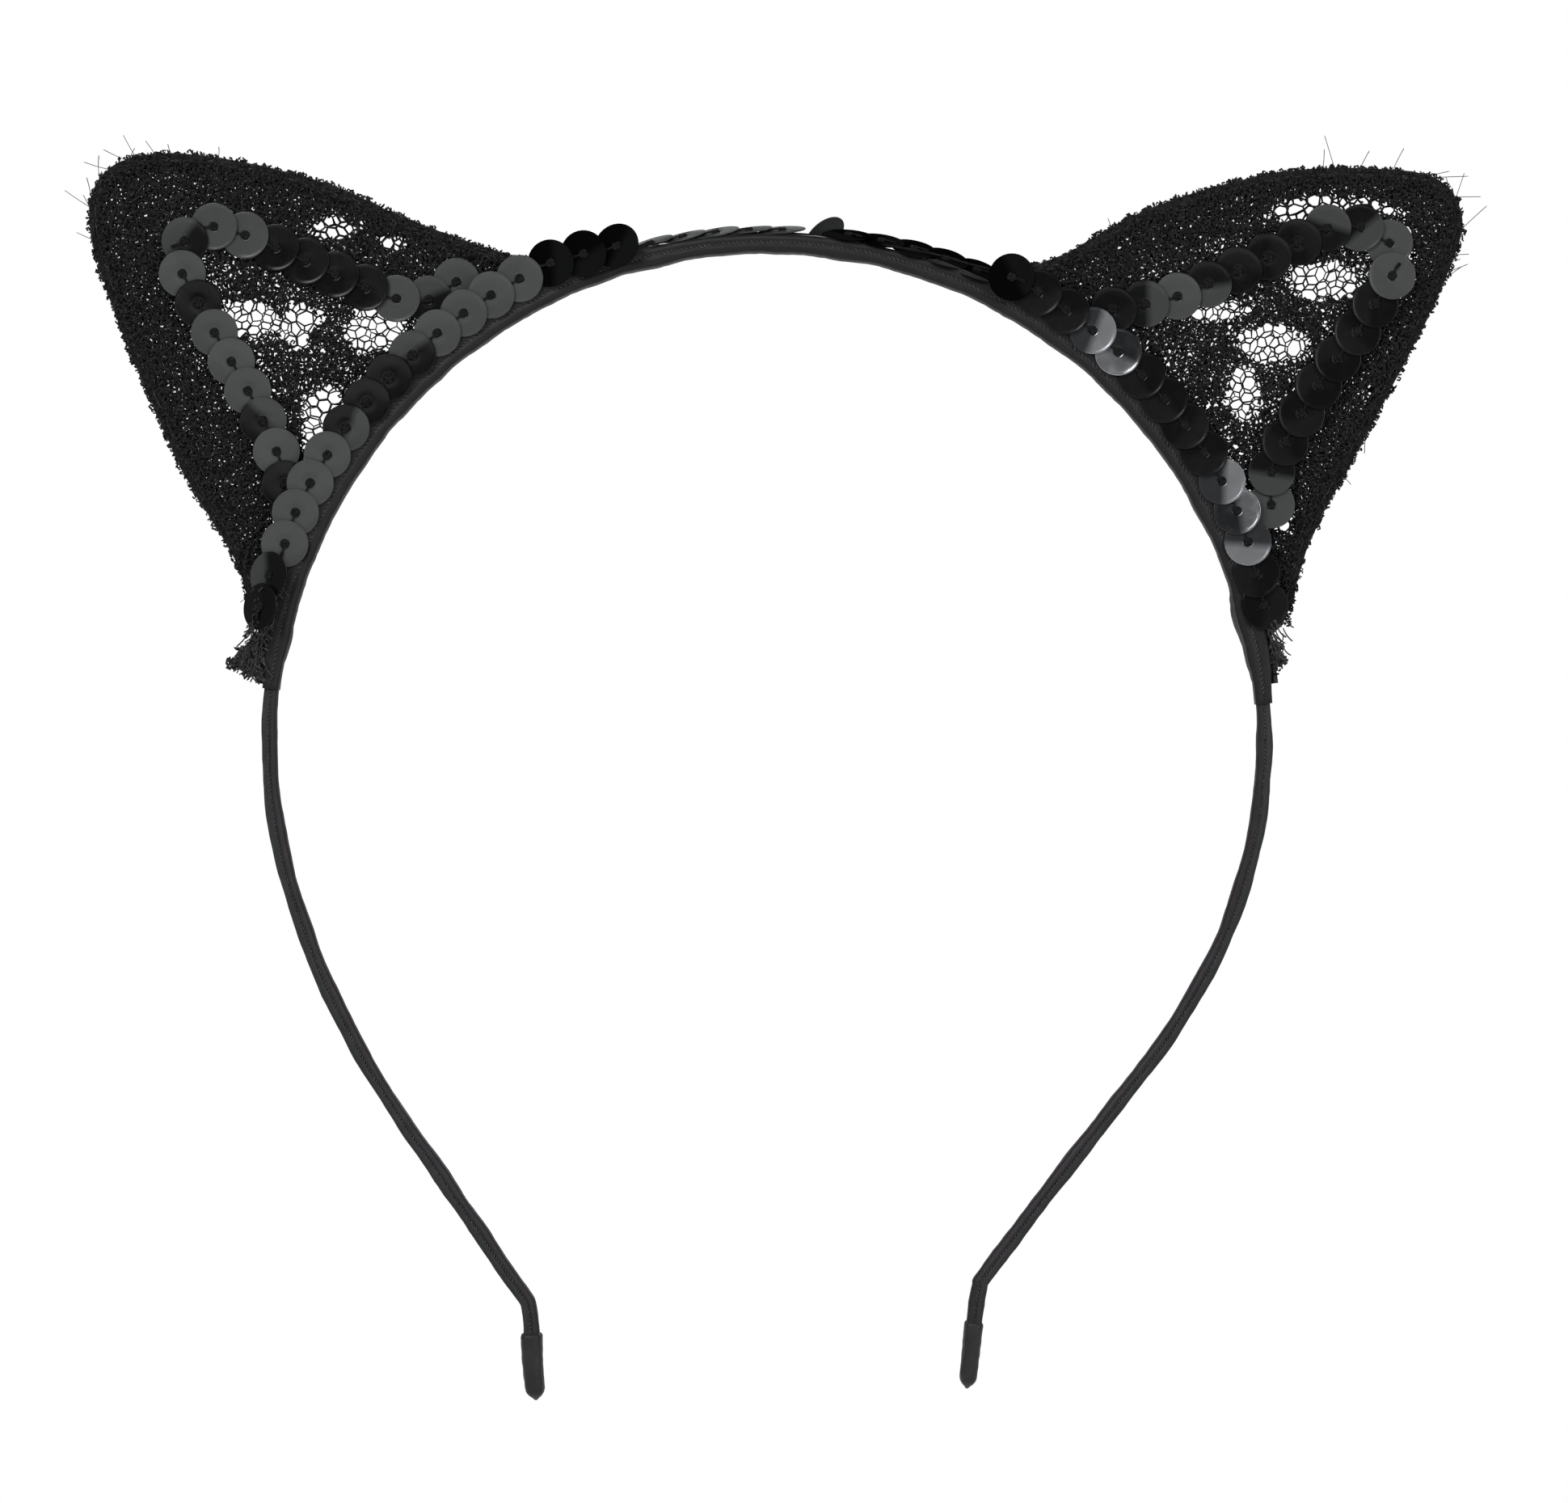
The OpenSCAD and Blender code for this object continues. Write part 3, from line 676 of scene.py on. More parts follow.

# %% [markdown]
# ## Oversewn seams
# A pale, fine overlock stitch closes the ribbon along the front of the band. It is one slanted bead of
# thread, repeated every half millimetre or so along a line. That is what Geometry Nodes do best: the seed is a
# bare line, and the tree walks along it and sets down beads, each turned a little by chance.

# %% The stitch tree
stitcher = Tree("Oversewn seam", "GeometryNodeTree",
                [("Geometry", "Geometry", None), ("Pitch", "Float", 0.9 * MM), ("Length", "Float", 0.34 * MM),
                 ("Thickness", "Float", 0.1 * MM), ("Slant", "Float", 0.6), ("Seed", "Int", 1),
                 ("Material", "Material", None)], [("Geometry", "Geometry")])
seam_curve = stitcher.add("GeometryNodeMeshToCurve", {"Mesh": stitcher.given["Geometry"]})
seam_points = stitcher.add("GeometryNodeCurveToPoints", {"Curve": seam_curve.outputs[0],
                                                         "Length": stitcher.given["Pitch"]}, mode="LENGTH")
bead = stitcher.add("GeometryNodeMeshUVSphere", {"Segments": 6, "Rings": 5, "Radius": 1.0})
bead_size = stitcher.add("ShaderNodeCombineXYZ", {"X": stitcher.given["Thickness"],
                                                  "Y": stitcher.given["Thickness"],
                                                  "Z": stitcher.given["Length"]})
slant = stitcher.add("FunctionNodeRandomValue", {"Seed": stitcher.given["Seed"]}, data_type="FLOAT")
slant.inputs[2].default_value = -0.18
slant.inputs[3].default_value = 0.18
slant_sum = stitcher.add("ShaderNodeMath", {0: slant.outputs[1], 1: stitcher.given["Slant"]}, operation="ADD")
slant_turn = stitcher.add("ShaderNodeCombineXYZ", {"X": slant_sum.outputs[0]})
slant_euler = stitcher.add("FunctionNodeEulerToRotation", {"Euler": slant_turn.outputs[0]})
seam_facing = stitcher.add("FunctionNodeAxesToRotation", {"Primary Axis": seam_points.outputs["Tangent"],
                                                          "Secondary Axis": (0.0, 1.0, 0.0)},
                           primary_axis="Z", secondary_axis="X")
bead_turn = stitcher.add("FunctionNodeRotateRotation", {"Rotation": seam_facing.outputs[0],
                                                        "Rotate By": slant_euler.outputs[0]},
                         rotation_space="LOCAL")
beads = stitcher.add("GeometryNodeInstanceOnPoints", {"Points": seam_points.outputs["Points"],
                                                      "Instance": bead.outputs["Mesh"],
                                                      "Rotation": bead_turn.outputs[0],
                                                      "Scale": bead_size.outputs[0]})
stitcher.end_with(beads.outputs[0])


def seam(name, line, front, outward, seed, **sizes):
    """Stitches along the groove of a swept ribbon, at y = front."""
    points = []
    for k, p in enumerate(line):
        ahead = (line[min(k + 1, len(line) - 1)] - line[max(k - 1, 0)]).normalized()
        r = 0.05 * MM * wobble(k * 0.3, 1, seed)
        q = p + Vector((-ahead.y, ahead.x)) * outward * r
        points.append((q.x, front, q.y))
    path = mesh_of(name, points, edges=[(k, k + 1) for k in range(len(points) - 1)])
    return grow(name, path, stitcher, Seed=seed, Material=seam_thread, **sizes)


seams = {side: seam(f"{side}_arm_seam", lines[side][6:-10], -3.06 * MM, OUTWARD[side], seed, Pitch=0.5 * MM,
                    Length=0.28 * MM, Thickness=0.095 * MM, Slant=slant_here)
         for side, seed, slant_here in (("left", 3, 0.5), ("right", 4, -0.5))}
cover_seam = seam("cover_seam", cover_line[2:-2], -3.42 * MM, -1, 5, Pitch=0.6 * MM, Length=0.34 * MM,
                  Thickness=0.1 * MM, Slant=0.55)

# %% [markdown]
# ## Lace
# Lace is a net of fine yarn with closely worked motifs and open ground between them. A picture of lace on
# a flat sheet would have no depth, so here the yarn is real. Points are scattered over the ear, close
# together where the lace is worked solid and far apart in the open ground. Joining them into triangles
# and taking the dual of that mesh gives cells with about six sides each, as bobbin net has. A thin tube
# along every side of every cell is the yarn. Each ear has a front and a back layer, scattered apart, so
# that their holes cross and only pinholes of light are left where both are dense.


# %% Where the lace is dense and where it is open
# Each open patch is an oval: its middle across and up, then its reach across and up, all in mm.
OPEN_GROUND = {
    "left": [(-65.4, 53.5, 4.6, 2.9), (-59.6, 52.9, 3.0, 3.2), (-49.4, 52.2, 5.0, 3.4),
             (-56.0, 42.0, 3.3, 3.6), (-55.4, 65.0, 3.4, 1.9), (-47.6, 63.2, 2.0, 1.4),
             (-57.0, 38.0, 2.4, 3.2), (-45.5, 47.6, 2.4, 1.8)],
    "right": [(71.5, 67.2, 9.4, 2.6), (70.6, 58.4, 5.2, 2.9), (64.0, 50.4, 5.2, 2.9),
              (65.4, 29.4, 1.8, 4.0), (57.0, 54.4, 4.2, 1.6), (60.5, 44.2, 2.6, 3.6),
              (80.6, 62.0, 1.6, 4.0), (76.6, 42.0, 1.3, 3.4)],
}
SOLID_WIDTH = {"left": 8.8, "right": 7.8}


def near_edge(p, edge):
    """Distance from p to a chain of points."""
    best = 1e9
    for a, b in zip(edge, edge[1:]):
        d = b - a
        t = min(max((p - a).dot(d) / d.length_squared, 0.0), 1.0)
        best = min(best, (p - a - d * t).length_squared)
    return math.sqrt(best)


def worked(p, side, edge):
    """(how solid, how open) the lace is at p, in mm, each from 0 to 1."""
    patch = noise.noise(Vector((p.x * 0.16, p.y * 0.16, 3.7)))
    fine = noise.noise(Vector((p.x * 0.5, p.y * 0.5, 9.1)))
    tip = 3.5 * eased((math.hypot(p.x, p.y) - 96) / 14)
    solid = eased((SOLID_WIDTH[side] + tip + 2.4 * patch + 1.4 * fine - near_edge(p, edge)) / 2.6)
    ground = 0.0
    for x, z, wide, high in OPEN_GROUND[side]:
        reach = math.hypot((p.x - x) / wide, (p.y - z) / high) + 0.34 * fine
        ground = max(ground, eased((1.09 - reach) / 0.38))
    return solid, ground


def motif_at(p):
    return noise.noise(Vector((p.x * 0.33, p.y * 0.33, 5.5)))


def hole_size(p, side, edge):
    """How far apart the points of the net stand at p, in mm."""
    solid, ground = worked(p, side, edge)
    motif = motif_at(p)
    uneven = noise.noise(Vector((p.x * 0.9, p.y * 0.9, 2.2)))
    size = 0.68 - 0.2 * motif
    size += (0.5 - size) * solid
    return size + (1.25 + 0.6 * uneven - size) * ground


print("open patches:", sum(len(v) for v in OPEN_GROUND.values()))


# %% Scatter points and join them
def scattered(outline, size_at, seed, pitch):
    """Points inside an outline, as close as size_at lets them be, tried in a shuffled order."""
    dice = random.Random(seed)
    low, high = min(p.y for p in outline), max(p.y for p in outline)
    sides, tries = list(zip(outline, outline[1:] + outline[:1])), []
    for row in range(int((high - low) / pitch)):
        y = low + (row + 0.5) * pitch
        cuts = sorted(a.x + (y - a.y) * (b.x - a.x) / (b.y - a.y) for a, b in sides if (a.y > y) != (b.y > y))
        for start, stop in zip(cuts[::2], cuts[1::2]):
            for k in range(int((stop - start - 0.3) / pitch)):
                tries.append(Vector((start + 0.15 + pitch * (k + dice.random()),
                                     y + pitch * dice.uniform(-0.45, 0.45))))
    dice.shuffle(tries)
    grid, kept, cell = {}, [], 0.5
    for p in tries:
        size = size_at(p)
        i, j, reach = int(p.x // cell), int(p.y // cell), int(size / cell) + 1
        if all((q - p).length_squared > size * size for u in range(i - reach, i + reach + 1)
               for w in range(j - reach, j + reach + 1) for q in grid.get((u, w), ())):
            grid.setdefault((i, j), []).append(p)
            kept.append(p)
    return kept


EAR_FOOT = 64.4


def ear_parts(node):
    """The panel's outline, and the part of it that is the ear's free edge, in mm."""
    outline = [p / MM for p in flat_outline(node)]
    free = [math.hypot(p.x, p.y) > EAR_FOOT for p in outline]
    start = next(i for i in range(len(outline)) if free[i] and not free[i - 1])
    turned = outline[start:] + outline[:start]
    edge = [p for p in turned if math.hypot(p.x, p.y) > EAR_FOOT]
    return outline, edge


def polygon_area(points):
    return abs(sum(a.x * b.y - b.x * a.y for a, b in zip(points, points[1:] + points[:1]))) / 2


ears = {side: ear_parts(f"{side}_ear_lace_front") for side in SIDES}
print({side: (round(polygon_area(o)), len(e)) for side, (o, e) in ears.items()}, "mm2, edge points")

# %% The net tree
netter = Tree("Bobbin net", "GeometryNodeTree",
              [("Geometry", "Geometry", None), ("Yarn", "Float", 0.13 * MM), ("Uneven", "Float", 0.35),
               ("Loose", "Float", 0.16 * MM), ("Sides", "Int", 3), ("Material", "Material", None)],
              [("Geometry", "Geometry")])
dual = netter.add("GeometryNodeDualMesh", {"Mesh": netter.given["Geometry"], "Keep Boundaries": True})
yarns = netter.add("GeometryNodeMeshToCurve", {"Mesh": dual.outputs[0]})
sway = netter.add("ShaderNodeTexNoise", {"Scale": 1500.0, "Detail": 1.0})
sway_place = netter.add("GeometryNodeInputPosition")
netter.tree.links.new(sway_place.outputs[0], sway.inputs["Vector"])
sway_even = netter.add("ShaderNodeMath", {0: sway.outputs["Fac"], 1: 0.5}, operation="SUBTRACT")
sway_size = netter.add("ShaderNodeMath", {0: sway_even.outputs[0], 1: netter.given["Loose"]},
                       operation="MULTIPLY")
sway_more = netter.add("ShaderNodeMath", {0: sway_size.outputs[0], 1: 4.0}, operation="MULTIPLY")
sway_move = netter.add("ShaderNodeCombineXYZ", {"Y": sway_more.outputs[0]})
yarns_moved = netter.add("GeometryNodeSetPosition", {"Geometry": yarns.outputs[0],
                                                     "Offset": sway_move.outputs[0]})
thick = netter.add("ShaderNodeMath", {0: netter.attribute("weight", "FLOAT"), 1: netter.given["Yarn"]},
                   operation="MULTIPLY")
lumps = netter.add("ShaderNodeTexNoise", {"Scale": 2600.0, "Detail": 0.0})
netter.tree.links.new(sway_place.outputs[0], lumps.inputs["Vector"])
lump_even = netter.add("ShaderNodeMapRange", {"Value": lumps.outputs["Fac"], "From Min": 0.2,
                                              "From Max": 0.8, "To Max": 1.4})
lump_least = netter.add("ShaderNodeMath", {0: 1.0, 1: netter.given["Uneven"]}, operation="SUBTRACT")
netter.tree.links.new(lump_least.outputs[0], lump_even.inputs["To Min"])
thick_lumpy = netter.add("ShaderNodeMath", {0: thick.outputs[0], 1: lump_even.outputs[0]},
                         operation="MULTIPLY")
yarn_round = netter.add("GeometryNodeCurvePrimitiveCircle", {"Resolution": netter.given["Sides"],
                                                             "Radius": 1.0})
net_mesh = netter.add("GeometryNodeCurveToMesh", {"Curve": yarns_moved.outputs[0],
                                                  "Profile Curve": yarn_round.outputs[0],
                                                  "Scale": thick_lumpy.outputs[0], "Fill Caps": True})
netter.end_with(net_mesh.outputs[0])
print("net tree:", len(netter.tree.nodes), "nodes")


# %% Work the lace
def net(name, outline, size_at, weight_at, y, seed, **sizes):
    """A net of yarn inside an outline in mm, at depth y in metres."""
    rim = resampled(outline + outline[:1], 0.75)[:-1]
    inner = scattered(outline, size_at, seed, 0.3)
    joined = geometry.delaunay_2d_cdt(rim + inner, [], [list(range(len(rim)))], 1, 1e-5)
    mesh = mesh_of(name, [(p.x * MM, y, p.y * MM) for p in joined[0]], joined[2])
    centres = [sum((joined[0][i] for i in face), Vector((0, 0))) / len(face) for face in joined[2]]
    note(mesh, "weight", [weight_at(c) for c in centres], domain="FACE")
    return grow(name, mesh, netter, **sizes)


def middle_y(node):
    low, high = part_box(node)
    return (low[1] + high[1]) / 2


lace = {}
for number, (side, layer) in enumerate([("left", "front"), ("left", "back"), ("right", "front"),
                                        ("right", "back")]):
    outline, edge = ears[side]

    def size_here(p):
        return hole_size(p, side, edge)

    def weight_here(p):
        solid, ground = worked(p, side, edge)
        return 1.0 + 0.3 * solid - 0.15 * ground

    node = f"{side}_ear_lace_{layer}"
    lace[side, layer] = net(f"{side}_lace_{layer}", outline, size_here, weight_here, middle_y(node),
                            11 + number, Material=lace_yarn)

# %% [markdown]
# ## Crochet yarn on the solid parts
# Where the lace is solid it is worked in a soft, hairy yarn whose tiny loops stand up and catch light. One
# open loop of eleven faces is set down thousands of times. The seed is a cloud of points that carry
# how solid the lace is there, and the tree turns and sizes each loop by chance from a fixed seed.


# %% A loop of yarn, and the tree that sets it down
def tube_along(name, points, radius, sides=4):
    """A closed tube through a few points; radius may be a list."""
    radii = radius if isinstance(radius, list) else [radius] * len(points)
    verts, faces = [], []
    side_of = Vector((0.31, 0.17, 0.94))
    for k, p in enumerate(points):
        ahead = (points[min(k + 1, len(points) - 1)] - points[max(k - 1, 0)]).normalized()
        u = ahead.cross(side_of).normalized()
        w = ahead.cross(u)
        verts += [p + radii[k] * (math.cos(a) * u + math.sin(a) * w)
                  for a in (2 * math.pi * i / sides for i in range(sides))]
    n = len(points)
    faces = [(k * sides + i, k * sides + (i + 1) % sides, (k + 1) * sides + (i + 1) % sides,
              (k + 1) * sides + i) for k in range(n - 1) for i in range(sides)]
    faces += [tuple(range(sides))[::-1], tuple((n - 1) * sides + i for i in range(sides))]
    mesh = mesh_of(name, verts, faces)
    straighten(mesh)
    return mesh


def loop_points(reach, turns, rise, count):
    return [Vector((reach * math.cos(a), reach * math.sin(a), rise * math.sin(a * 0.5)))
            for a in (turns * 2 * math.pi * k / (count - 1) for k in range(count))]


curl_mesh = tube_along("curl", loop_points(0.21 * MM, 0.75, 0.22 * MM, 4), 0.135 * MM, sides=3)

setter = Tree("Set down by chance", "GeometryNodeTree",
              [("Geometry", "Geometry", None), ("Pattern", "Object", None), ("Smallest", "Float", 0.7),
               ("Largest", "Float", 1.35), ("Flatness", "Float", 0.8), ("Seed", "Int", 1),
               ("Material", "Material", None)], [("Geometry", "Geometry")])
chance_turn = setter.add("FunctionNodeRandomValue", {"Seed": setter.given["Seed"]},
                         data_type="FLOAT_VECTOR")
chance_turn.inputs[0].default_value = (-math.pi, -math.pi, -math.pi)
chance_turn.inputs[1].default_value = (math.pi, math.pi, math.pi)
chance_size = setter.add("FunctionNodeRandomValue", {"Seed": setter.given["Seed"]}, data_type="FLOAT")
setter.tree.links.new(setter.given["Smallest"], chance_size.inputs[2])
setter.tree.links.new(setter.given["Largest"], chance_size.inputs[3])
flat_size = setter.add("ShaderNodeMath", {0: chance_size.outputs[1], 1: setter.given["Flatness"]},
                       operation="MULTIPLY")
set_size = setter.add("ShaderNodeCombineXYZ", {"X": chance_size.outputs[1], "Y": chance_size.outputs[1],
                                               "Z": flat_size.outputs[0]})
setter.set_down(chance_turn.outputs[0], set_size.outputs[0])


def set_pieces(name, points, pattern_mesh, grower, attributes=(), **inputs):
    """Sets a pattern down on points; attributes are (label, values, kind) for the points."""
    shape = new_object(name + "_pattern", pattern_mesh.copy())
    cloud = mesh_of(name, points)
    for label, values, kind in attributes:
        note(cloud, label, values, kind=kind)
    made = grow(name, cloud, grower, Pattern=shape, **inputs)
    bpy.data.objects.remove(shape)
    return made


print("curl:", len(curl_mesh.polygons), "faces")


# %% Crochet the solid zones and the rolled edges
def crochet_points(side, y_from, y_to, gap, seed):
    """Loops where the lace is solid, thinning out towards the open ground."""
    outline, edge = ears[side]
    dice = random.Random(seed)
    points = []
    for p in scattered(outline, lambda q: gap, seed, 0.24):
        solid, ground = worked(p, side, edge)
        if dice.random() < (0.7 + 0.5 * solid + 0.3 * (motif_at(p) > 0.0)) * (1 - ground):
            points.append((p.x * MM, dice.uniform(y_from, y_to), p.y * MM))
    return points


crochet = {}
for number, side in enumerate(SIDES):
    for layer, face in (("front", -1), ("back", 1)):
        y = middle_y(f"{side}_ear_lace_{layer}")
        cloud = crochet_points(side, y - 0.1 * MM, y + face * 0.45 * MM, 0.31, 71 + number * 2 + face)
        crochet[side, layer] = set_pieces(f"{side}_crochet_{layer}", cloud, curl_mesh, setter,
                                          Seed=5 + number, Smallest=0.8, Largest=1.6, Material=border_yarn)


def middle_of(points):
    return Vector((sum(p.x for p in points) / len(points), sum(p.y for p in points) / len(points)))


def edge_points(side, gap_count, seed):
    """Points all over the rolled edge: round the oval tube that hides the wire."""
    dice = random.Random(seed)
    edge = resampled(ears[side][1], 0.5)
    middle = middle_of(edge)
    points = []
    for k, p in enumerate(edge):
        ahead = (edge[min(k + 1, len(edge) - 1)] - edge[max(k - 1, 0)]).normalized()
        out = Vector((-ahead.y, ahead.x))
        out = out if (p + out - middle).length > (p - middle).length else -out
        for _ in range(gap_count):
            a = dice.uniform(0, 2 * math.pi)
            reach = 1.12 + 0.22 * noise.noise(Vector((p.x * 0.5, p.y * 0.5, seed))) + dice.uniform(-0.12, 0.1)
            q = p + ahead * dice.uniform(-0.3, 0.3) + out * math.cos(a) * reach
            points.append((q.x * MM, math.sin(a) * 0.78 * MM, q.y * MM))
    return points


def edge_core(name, side, seed):
    """The rolled lace round the wire, as a lumpy oval tube."""
    edge = resampled(ears[side][1], 0.6)

    def section(s, share):
        x = s / MM
        lump = 1 + 0.12 * wobble(x * 0.7, 2, seed) + 0.08 * wobble(x * 2.0, 4, seed)
        closing = math.sqrt(max(min(1, share * 40, (1 - share) * 40), 0.05))
        return [(1.0 * MM * lump * closing * math.cos(a), 0.72 * MM * lump * closing * math.sin(a), 1.0)
                for a in (2 * math.pi * k / 12 for k in range(12))]

    return sweep(name, [p * MM for p in edge], section, 1)


rolled, rolled_loops = {}, {}
for number, side in enumerate(SIDES):
    rolled[side] = dress(edge_core(f"{side}_rolled_edge", side, 61 + number), f"{side}_rolled_edge",
                         border_yarn)
    rolled_loops[side] = set_pieces(f"{side}_edge_loops", edge_points(side, 9, 81 + number), curl_mesh, setter,
                                    Seed=15 + number, Material=border_yarn)

# %% [markdown]
# ## Sequins
# The strings are bought ready strung: flat discs of glossy film, each lapping the next like roof tiles.
# Every disc of the measured model is a solid of its own, so its centre and the way it faces are read from
# its points. A turned profile with a raised ring round the hole and a lifted rim then replaces each one.
# The light each disc mirrors is painted into the film's colour: a grey disc carries a painted reflection of
# the light, a black one shows the film's own black, and a disc between the two is painted half light and half
# dark. The middle string lies rubbed and dull on top of the head.


# %% Read the strings and turn one sequin
def string_of(node, order):
    """Centre, facing and way along for each disc of a string, in stringing order."""
    bm = merged_copy(node)
    unseen, found = set(bm.verts), []
    while unseen:
        stack, island = [unseen.pop()], []
        while stack:
            v = stack.pop()
            island.append(v.co.copy())
            for e in v.link_edges:
                w = e.other_vert(v)
                if w in unseen:
                    unseen.discard(w)
                    stack.append(w)
        cloud = np.array([tuple(c) for c in island])
        centre = (cloud.min(axis=0) + cloud.max(axis=0)) / 2
        facing = Vector(np.linalg.svd(cloud - cloud.mean(axis=0))[2][2])
        outward = Vector((centre[0], -0.05, centre[2])).normalized() + Vector((0, -1, 0))
        found.append((Vector(centre), facing if facing.dot(outward) > 0 else -facing))
    bm.free()
    found.sort(key=lambda item: order(item[0]))
    string = []
    for k, (centre, facing) in enumerate(found):
        ahead = found[min(k + 1, len(found) - 1)][0] - found[max(k - 1, 0)][0]
        string.append(squared(centre, facing, ahead))
    return string


def squared(centre, facing, ahead):
    """A disc's place, with the way along made square to the way it faces."""
    facing = facing.normalized()
    return centre, facing, (ahead - facing * ahead.dot(facing)).normalized()


def by_angle(c):
    return -angle_of(c.x, c.z)


# One letter for each disc: k black, d half black and half painted grey, g painted grey, s silver, S dark
# silver, b pale; the grey and the pale are painted reflections of the light, and the silver carries a painted
# highlight.
STRINGS = {
    "left_ear_upper_sequins": (lambda c: c.x, "dggkkkkgdg"),
    "left_ear_outer_sequins": (lambda c: -c.z, "gkgggdgk"),
    "right_ear_upper_sequins": (lambda c: c.x, "kdgdkkkddg"),
    "right_ear_outer_sequins": (lambda c: -c.z, "gkkkkkkdg"),
    "crown_sequins_left": (by_angle, "kdggggdkkdgggg"),
    "crown_sequins_middle": (by_angle, "kkkbbbbbgkkkkkk"),
    "crown_sequins_right": (by_angle, "kkSskkkkSsSkk"),
}
# Each letter's tone, its painted tone on the painted lit half, and how much it mirrors, that is, how metallic
# it is under a painted mirror highlight.
TONES_AND_PAINTED_LIGHT = {"k": (0.0, 0.07, 0.0), "d": (0.03, 0.75, 0.0), "g": (1.0, 0.9, 0.0), "s": (0.8, 0.8, 1.0),
         "S": (0.2, 0.5, 0.6), "b": (0.7, 0.9, 0.12)}
PROFILE = [(0.55, 0.03), (0.64, 0.09), (0.86, 0.06), (1.5, 0.055), (2.4, 0.07), (2.8, 0.10), (2.95, 0.135),
           (3.0, 0.10), (2.98, 0.05), (2.4, -0.02), (1.2, -0.05), (0.62, -0.05), (0.55, -0.02)]


def turned(name, profile, steps):
    """A ring made by turning a closed profile round Z."""
    m = len(profile)
    verts = [(r * MM * math.cos(a), r * MM * math.sin(a), z * MM)
             for a in (2 * math.pi * k / steps for k in range(steps)) for r, z in profile]
    faces = [(k * m + i, ((k + 1) % steps) * m + i, ((k + 1) % steps) * m + (i + 1) % m, k * m + (i + 1) % m)
             for k in range(steps) for i in range(m)]
    mesh = mesh_of(name, verts, faces)
    straighten(mesh)
    return mesh


STANDING = 8
STANDING_AT, STANDING_FACES = (7.3, 4.2, 64.4), (0.55, -0.53, -0.65)
TIP = math.radians(5)


def leaned(string):
    """The middle string as sewn: it lies on top and dips to the front, and one disc hangs off behind.
    Its first three discs and its last stay as they are."""
    laid = []
    for k, (centre, facing, ahead) in enumerate(string):
        out = Vector((centre.x, 0, centre.z)).normalized()
        if 3 <= k < STANDING:
            dip, reach, forward = 9 + 2 * (k % 2), 64.78, -0.3
        elif STANDING < k < len(string) - 1:
            dip, reach, forward = 14 + 2.6 * (k - STANDING), 64.2 + 0.08 * k, -1.3
        else:
            laid.append((centre, facing, ahead))
            continue
        # Each disc also tips along the string, so that it laps the next.
        dip = math.radians(dip)
        facing = out * math.cos(dip) + Vector((0, -1, 0)) * math.sin(dip) - ahead * math.sin(TIP)
        laid.append(squared(out * reach * MM + Vector((0, forward * MM, 0)), facing, ahead))
    laid[STANDING] = squared(Vector(STANDING_AT) * MM, Vector(STANDING_FACES), laid[STANDING][2])
    return laid


sequin_mesh = turned("sequin", PROFILE, 36)
DISC_RADIUS = 3 * MM
note(sequin_mesh, "spot", [(v.co.x / DISC_RADIUS, v.co.y / DISC_RADIUS, 0) for v in sequin_mesh.vertices],
     kind="FLOAT_VECTOR")
strings = {node: string_of(node, order) for node, (order, disc_letters) in STRINGS.items()}
strings["crown_sequins_middle"] = leaned(strings["crown_sequins_middle"])
# The two lowest discs on the left have turned on their thread.
for k, turn in ((0, -44), (1, -36)):
    centre, facing, ahead = strings["crown_sequins_left"][k]
    facing = Matrix.Rotation(math.radians(turn), 3, ahead) @ facing
    strings["crown_sequins_left"][k] = (centre + Vector((-0.9, -0.9, 0)) * MM, facing, ahead)
print({node: len(string) for node, string in strings.items()})

# %% The stringing tree
stringer = Tree("String of discs", "GeometryNodeTree",
                [("Geometry", "Geometry", None), ("Pattern", "Object", None), ("Size", "Float", 1.0),
                 ("Material", "Material", None)], [("Geometry", "Geometry")])
stringer.set_down(stringer.attribute("turn", "FLOAT_VECTOR"), stringer.given["Size"])


def facing_turn(ahead, facing):
    """Euler angles that put X along the string and Z out of the disc."""
    side = facing.cross(ahead)
    return Matrix((ahead, side, facing)).transposed().to_euler("XYZ")


sequins = {}
for node, string in strings.items():
    disc_letters = STRINGS[node][1]
    dice = random.Random(len(node))
    turns = [tuple(facing_turn(ahead, facing)) for centre, facing, ahead in string]
    # The tone, the lit tone and the lit side carry each disc's painted reflection and painted highlight, with
    # a little random variation in tone.
    looks = [("turn", turns, "FLOAT_VECTOR"),
             ("tone", [TONES_AND_PAINTED_LIGHT[t][0] * dice.uniform(0.85, 1.1) for t in disc_letters], "FLOAT"),
             ("second", [TONES_AND_PAINTED_LIGHT[t][1] for t in disc_letters], "FLOAT"),
             ("silver", [TONES_AND_PAINTED_LIGHT[t][2] for t in disc_letters], "FLOAT"),
             ("lit", [(math.cos(a), math.sin(a), 0) for a in (dice.uniform(-2.2, 2.2) for t in disc_letters)],
              "FLOAT_VECTOR")]
    sequins[node] = set_pieces(node.replace("sequins", "sequin_string"), [c for c, f, a in string],
                               sequin_mesh, stringer, looks,
                               Material=rubbed_film if node.endswith("middle") else sequin_film)

# %% [markdown]
# ## Knots
# At each hole the thread makes a small knot that fills the hole, and two strands run over the film and
# under the disc that laps it. All discs of a string lap the same way, so the strands' way is read from
# whether a disc faces towards the end of its string or back to the start.


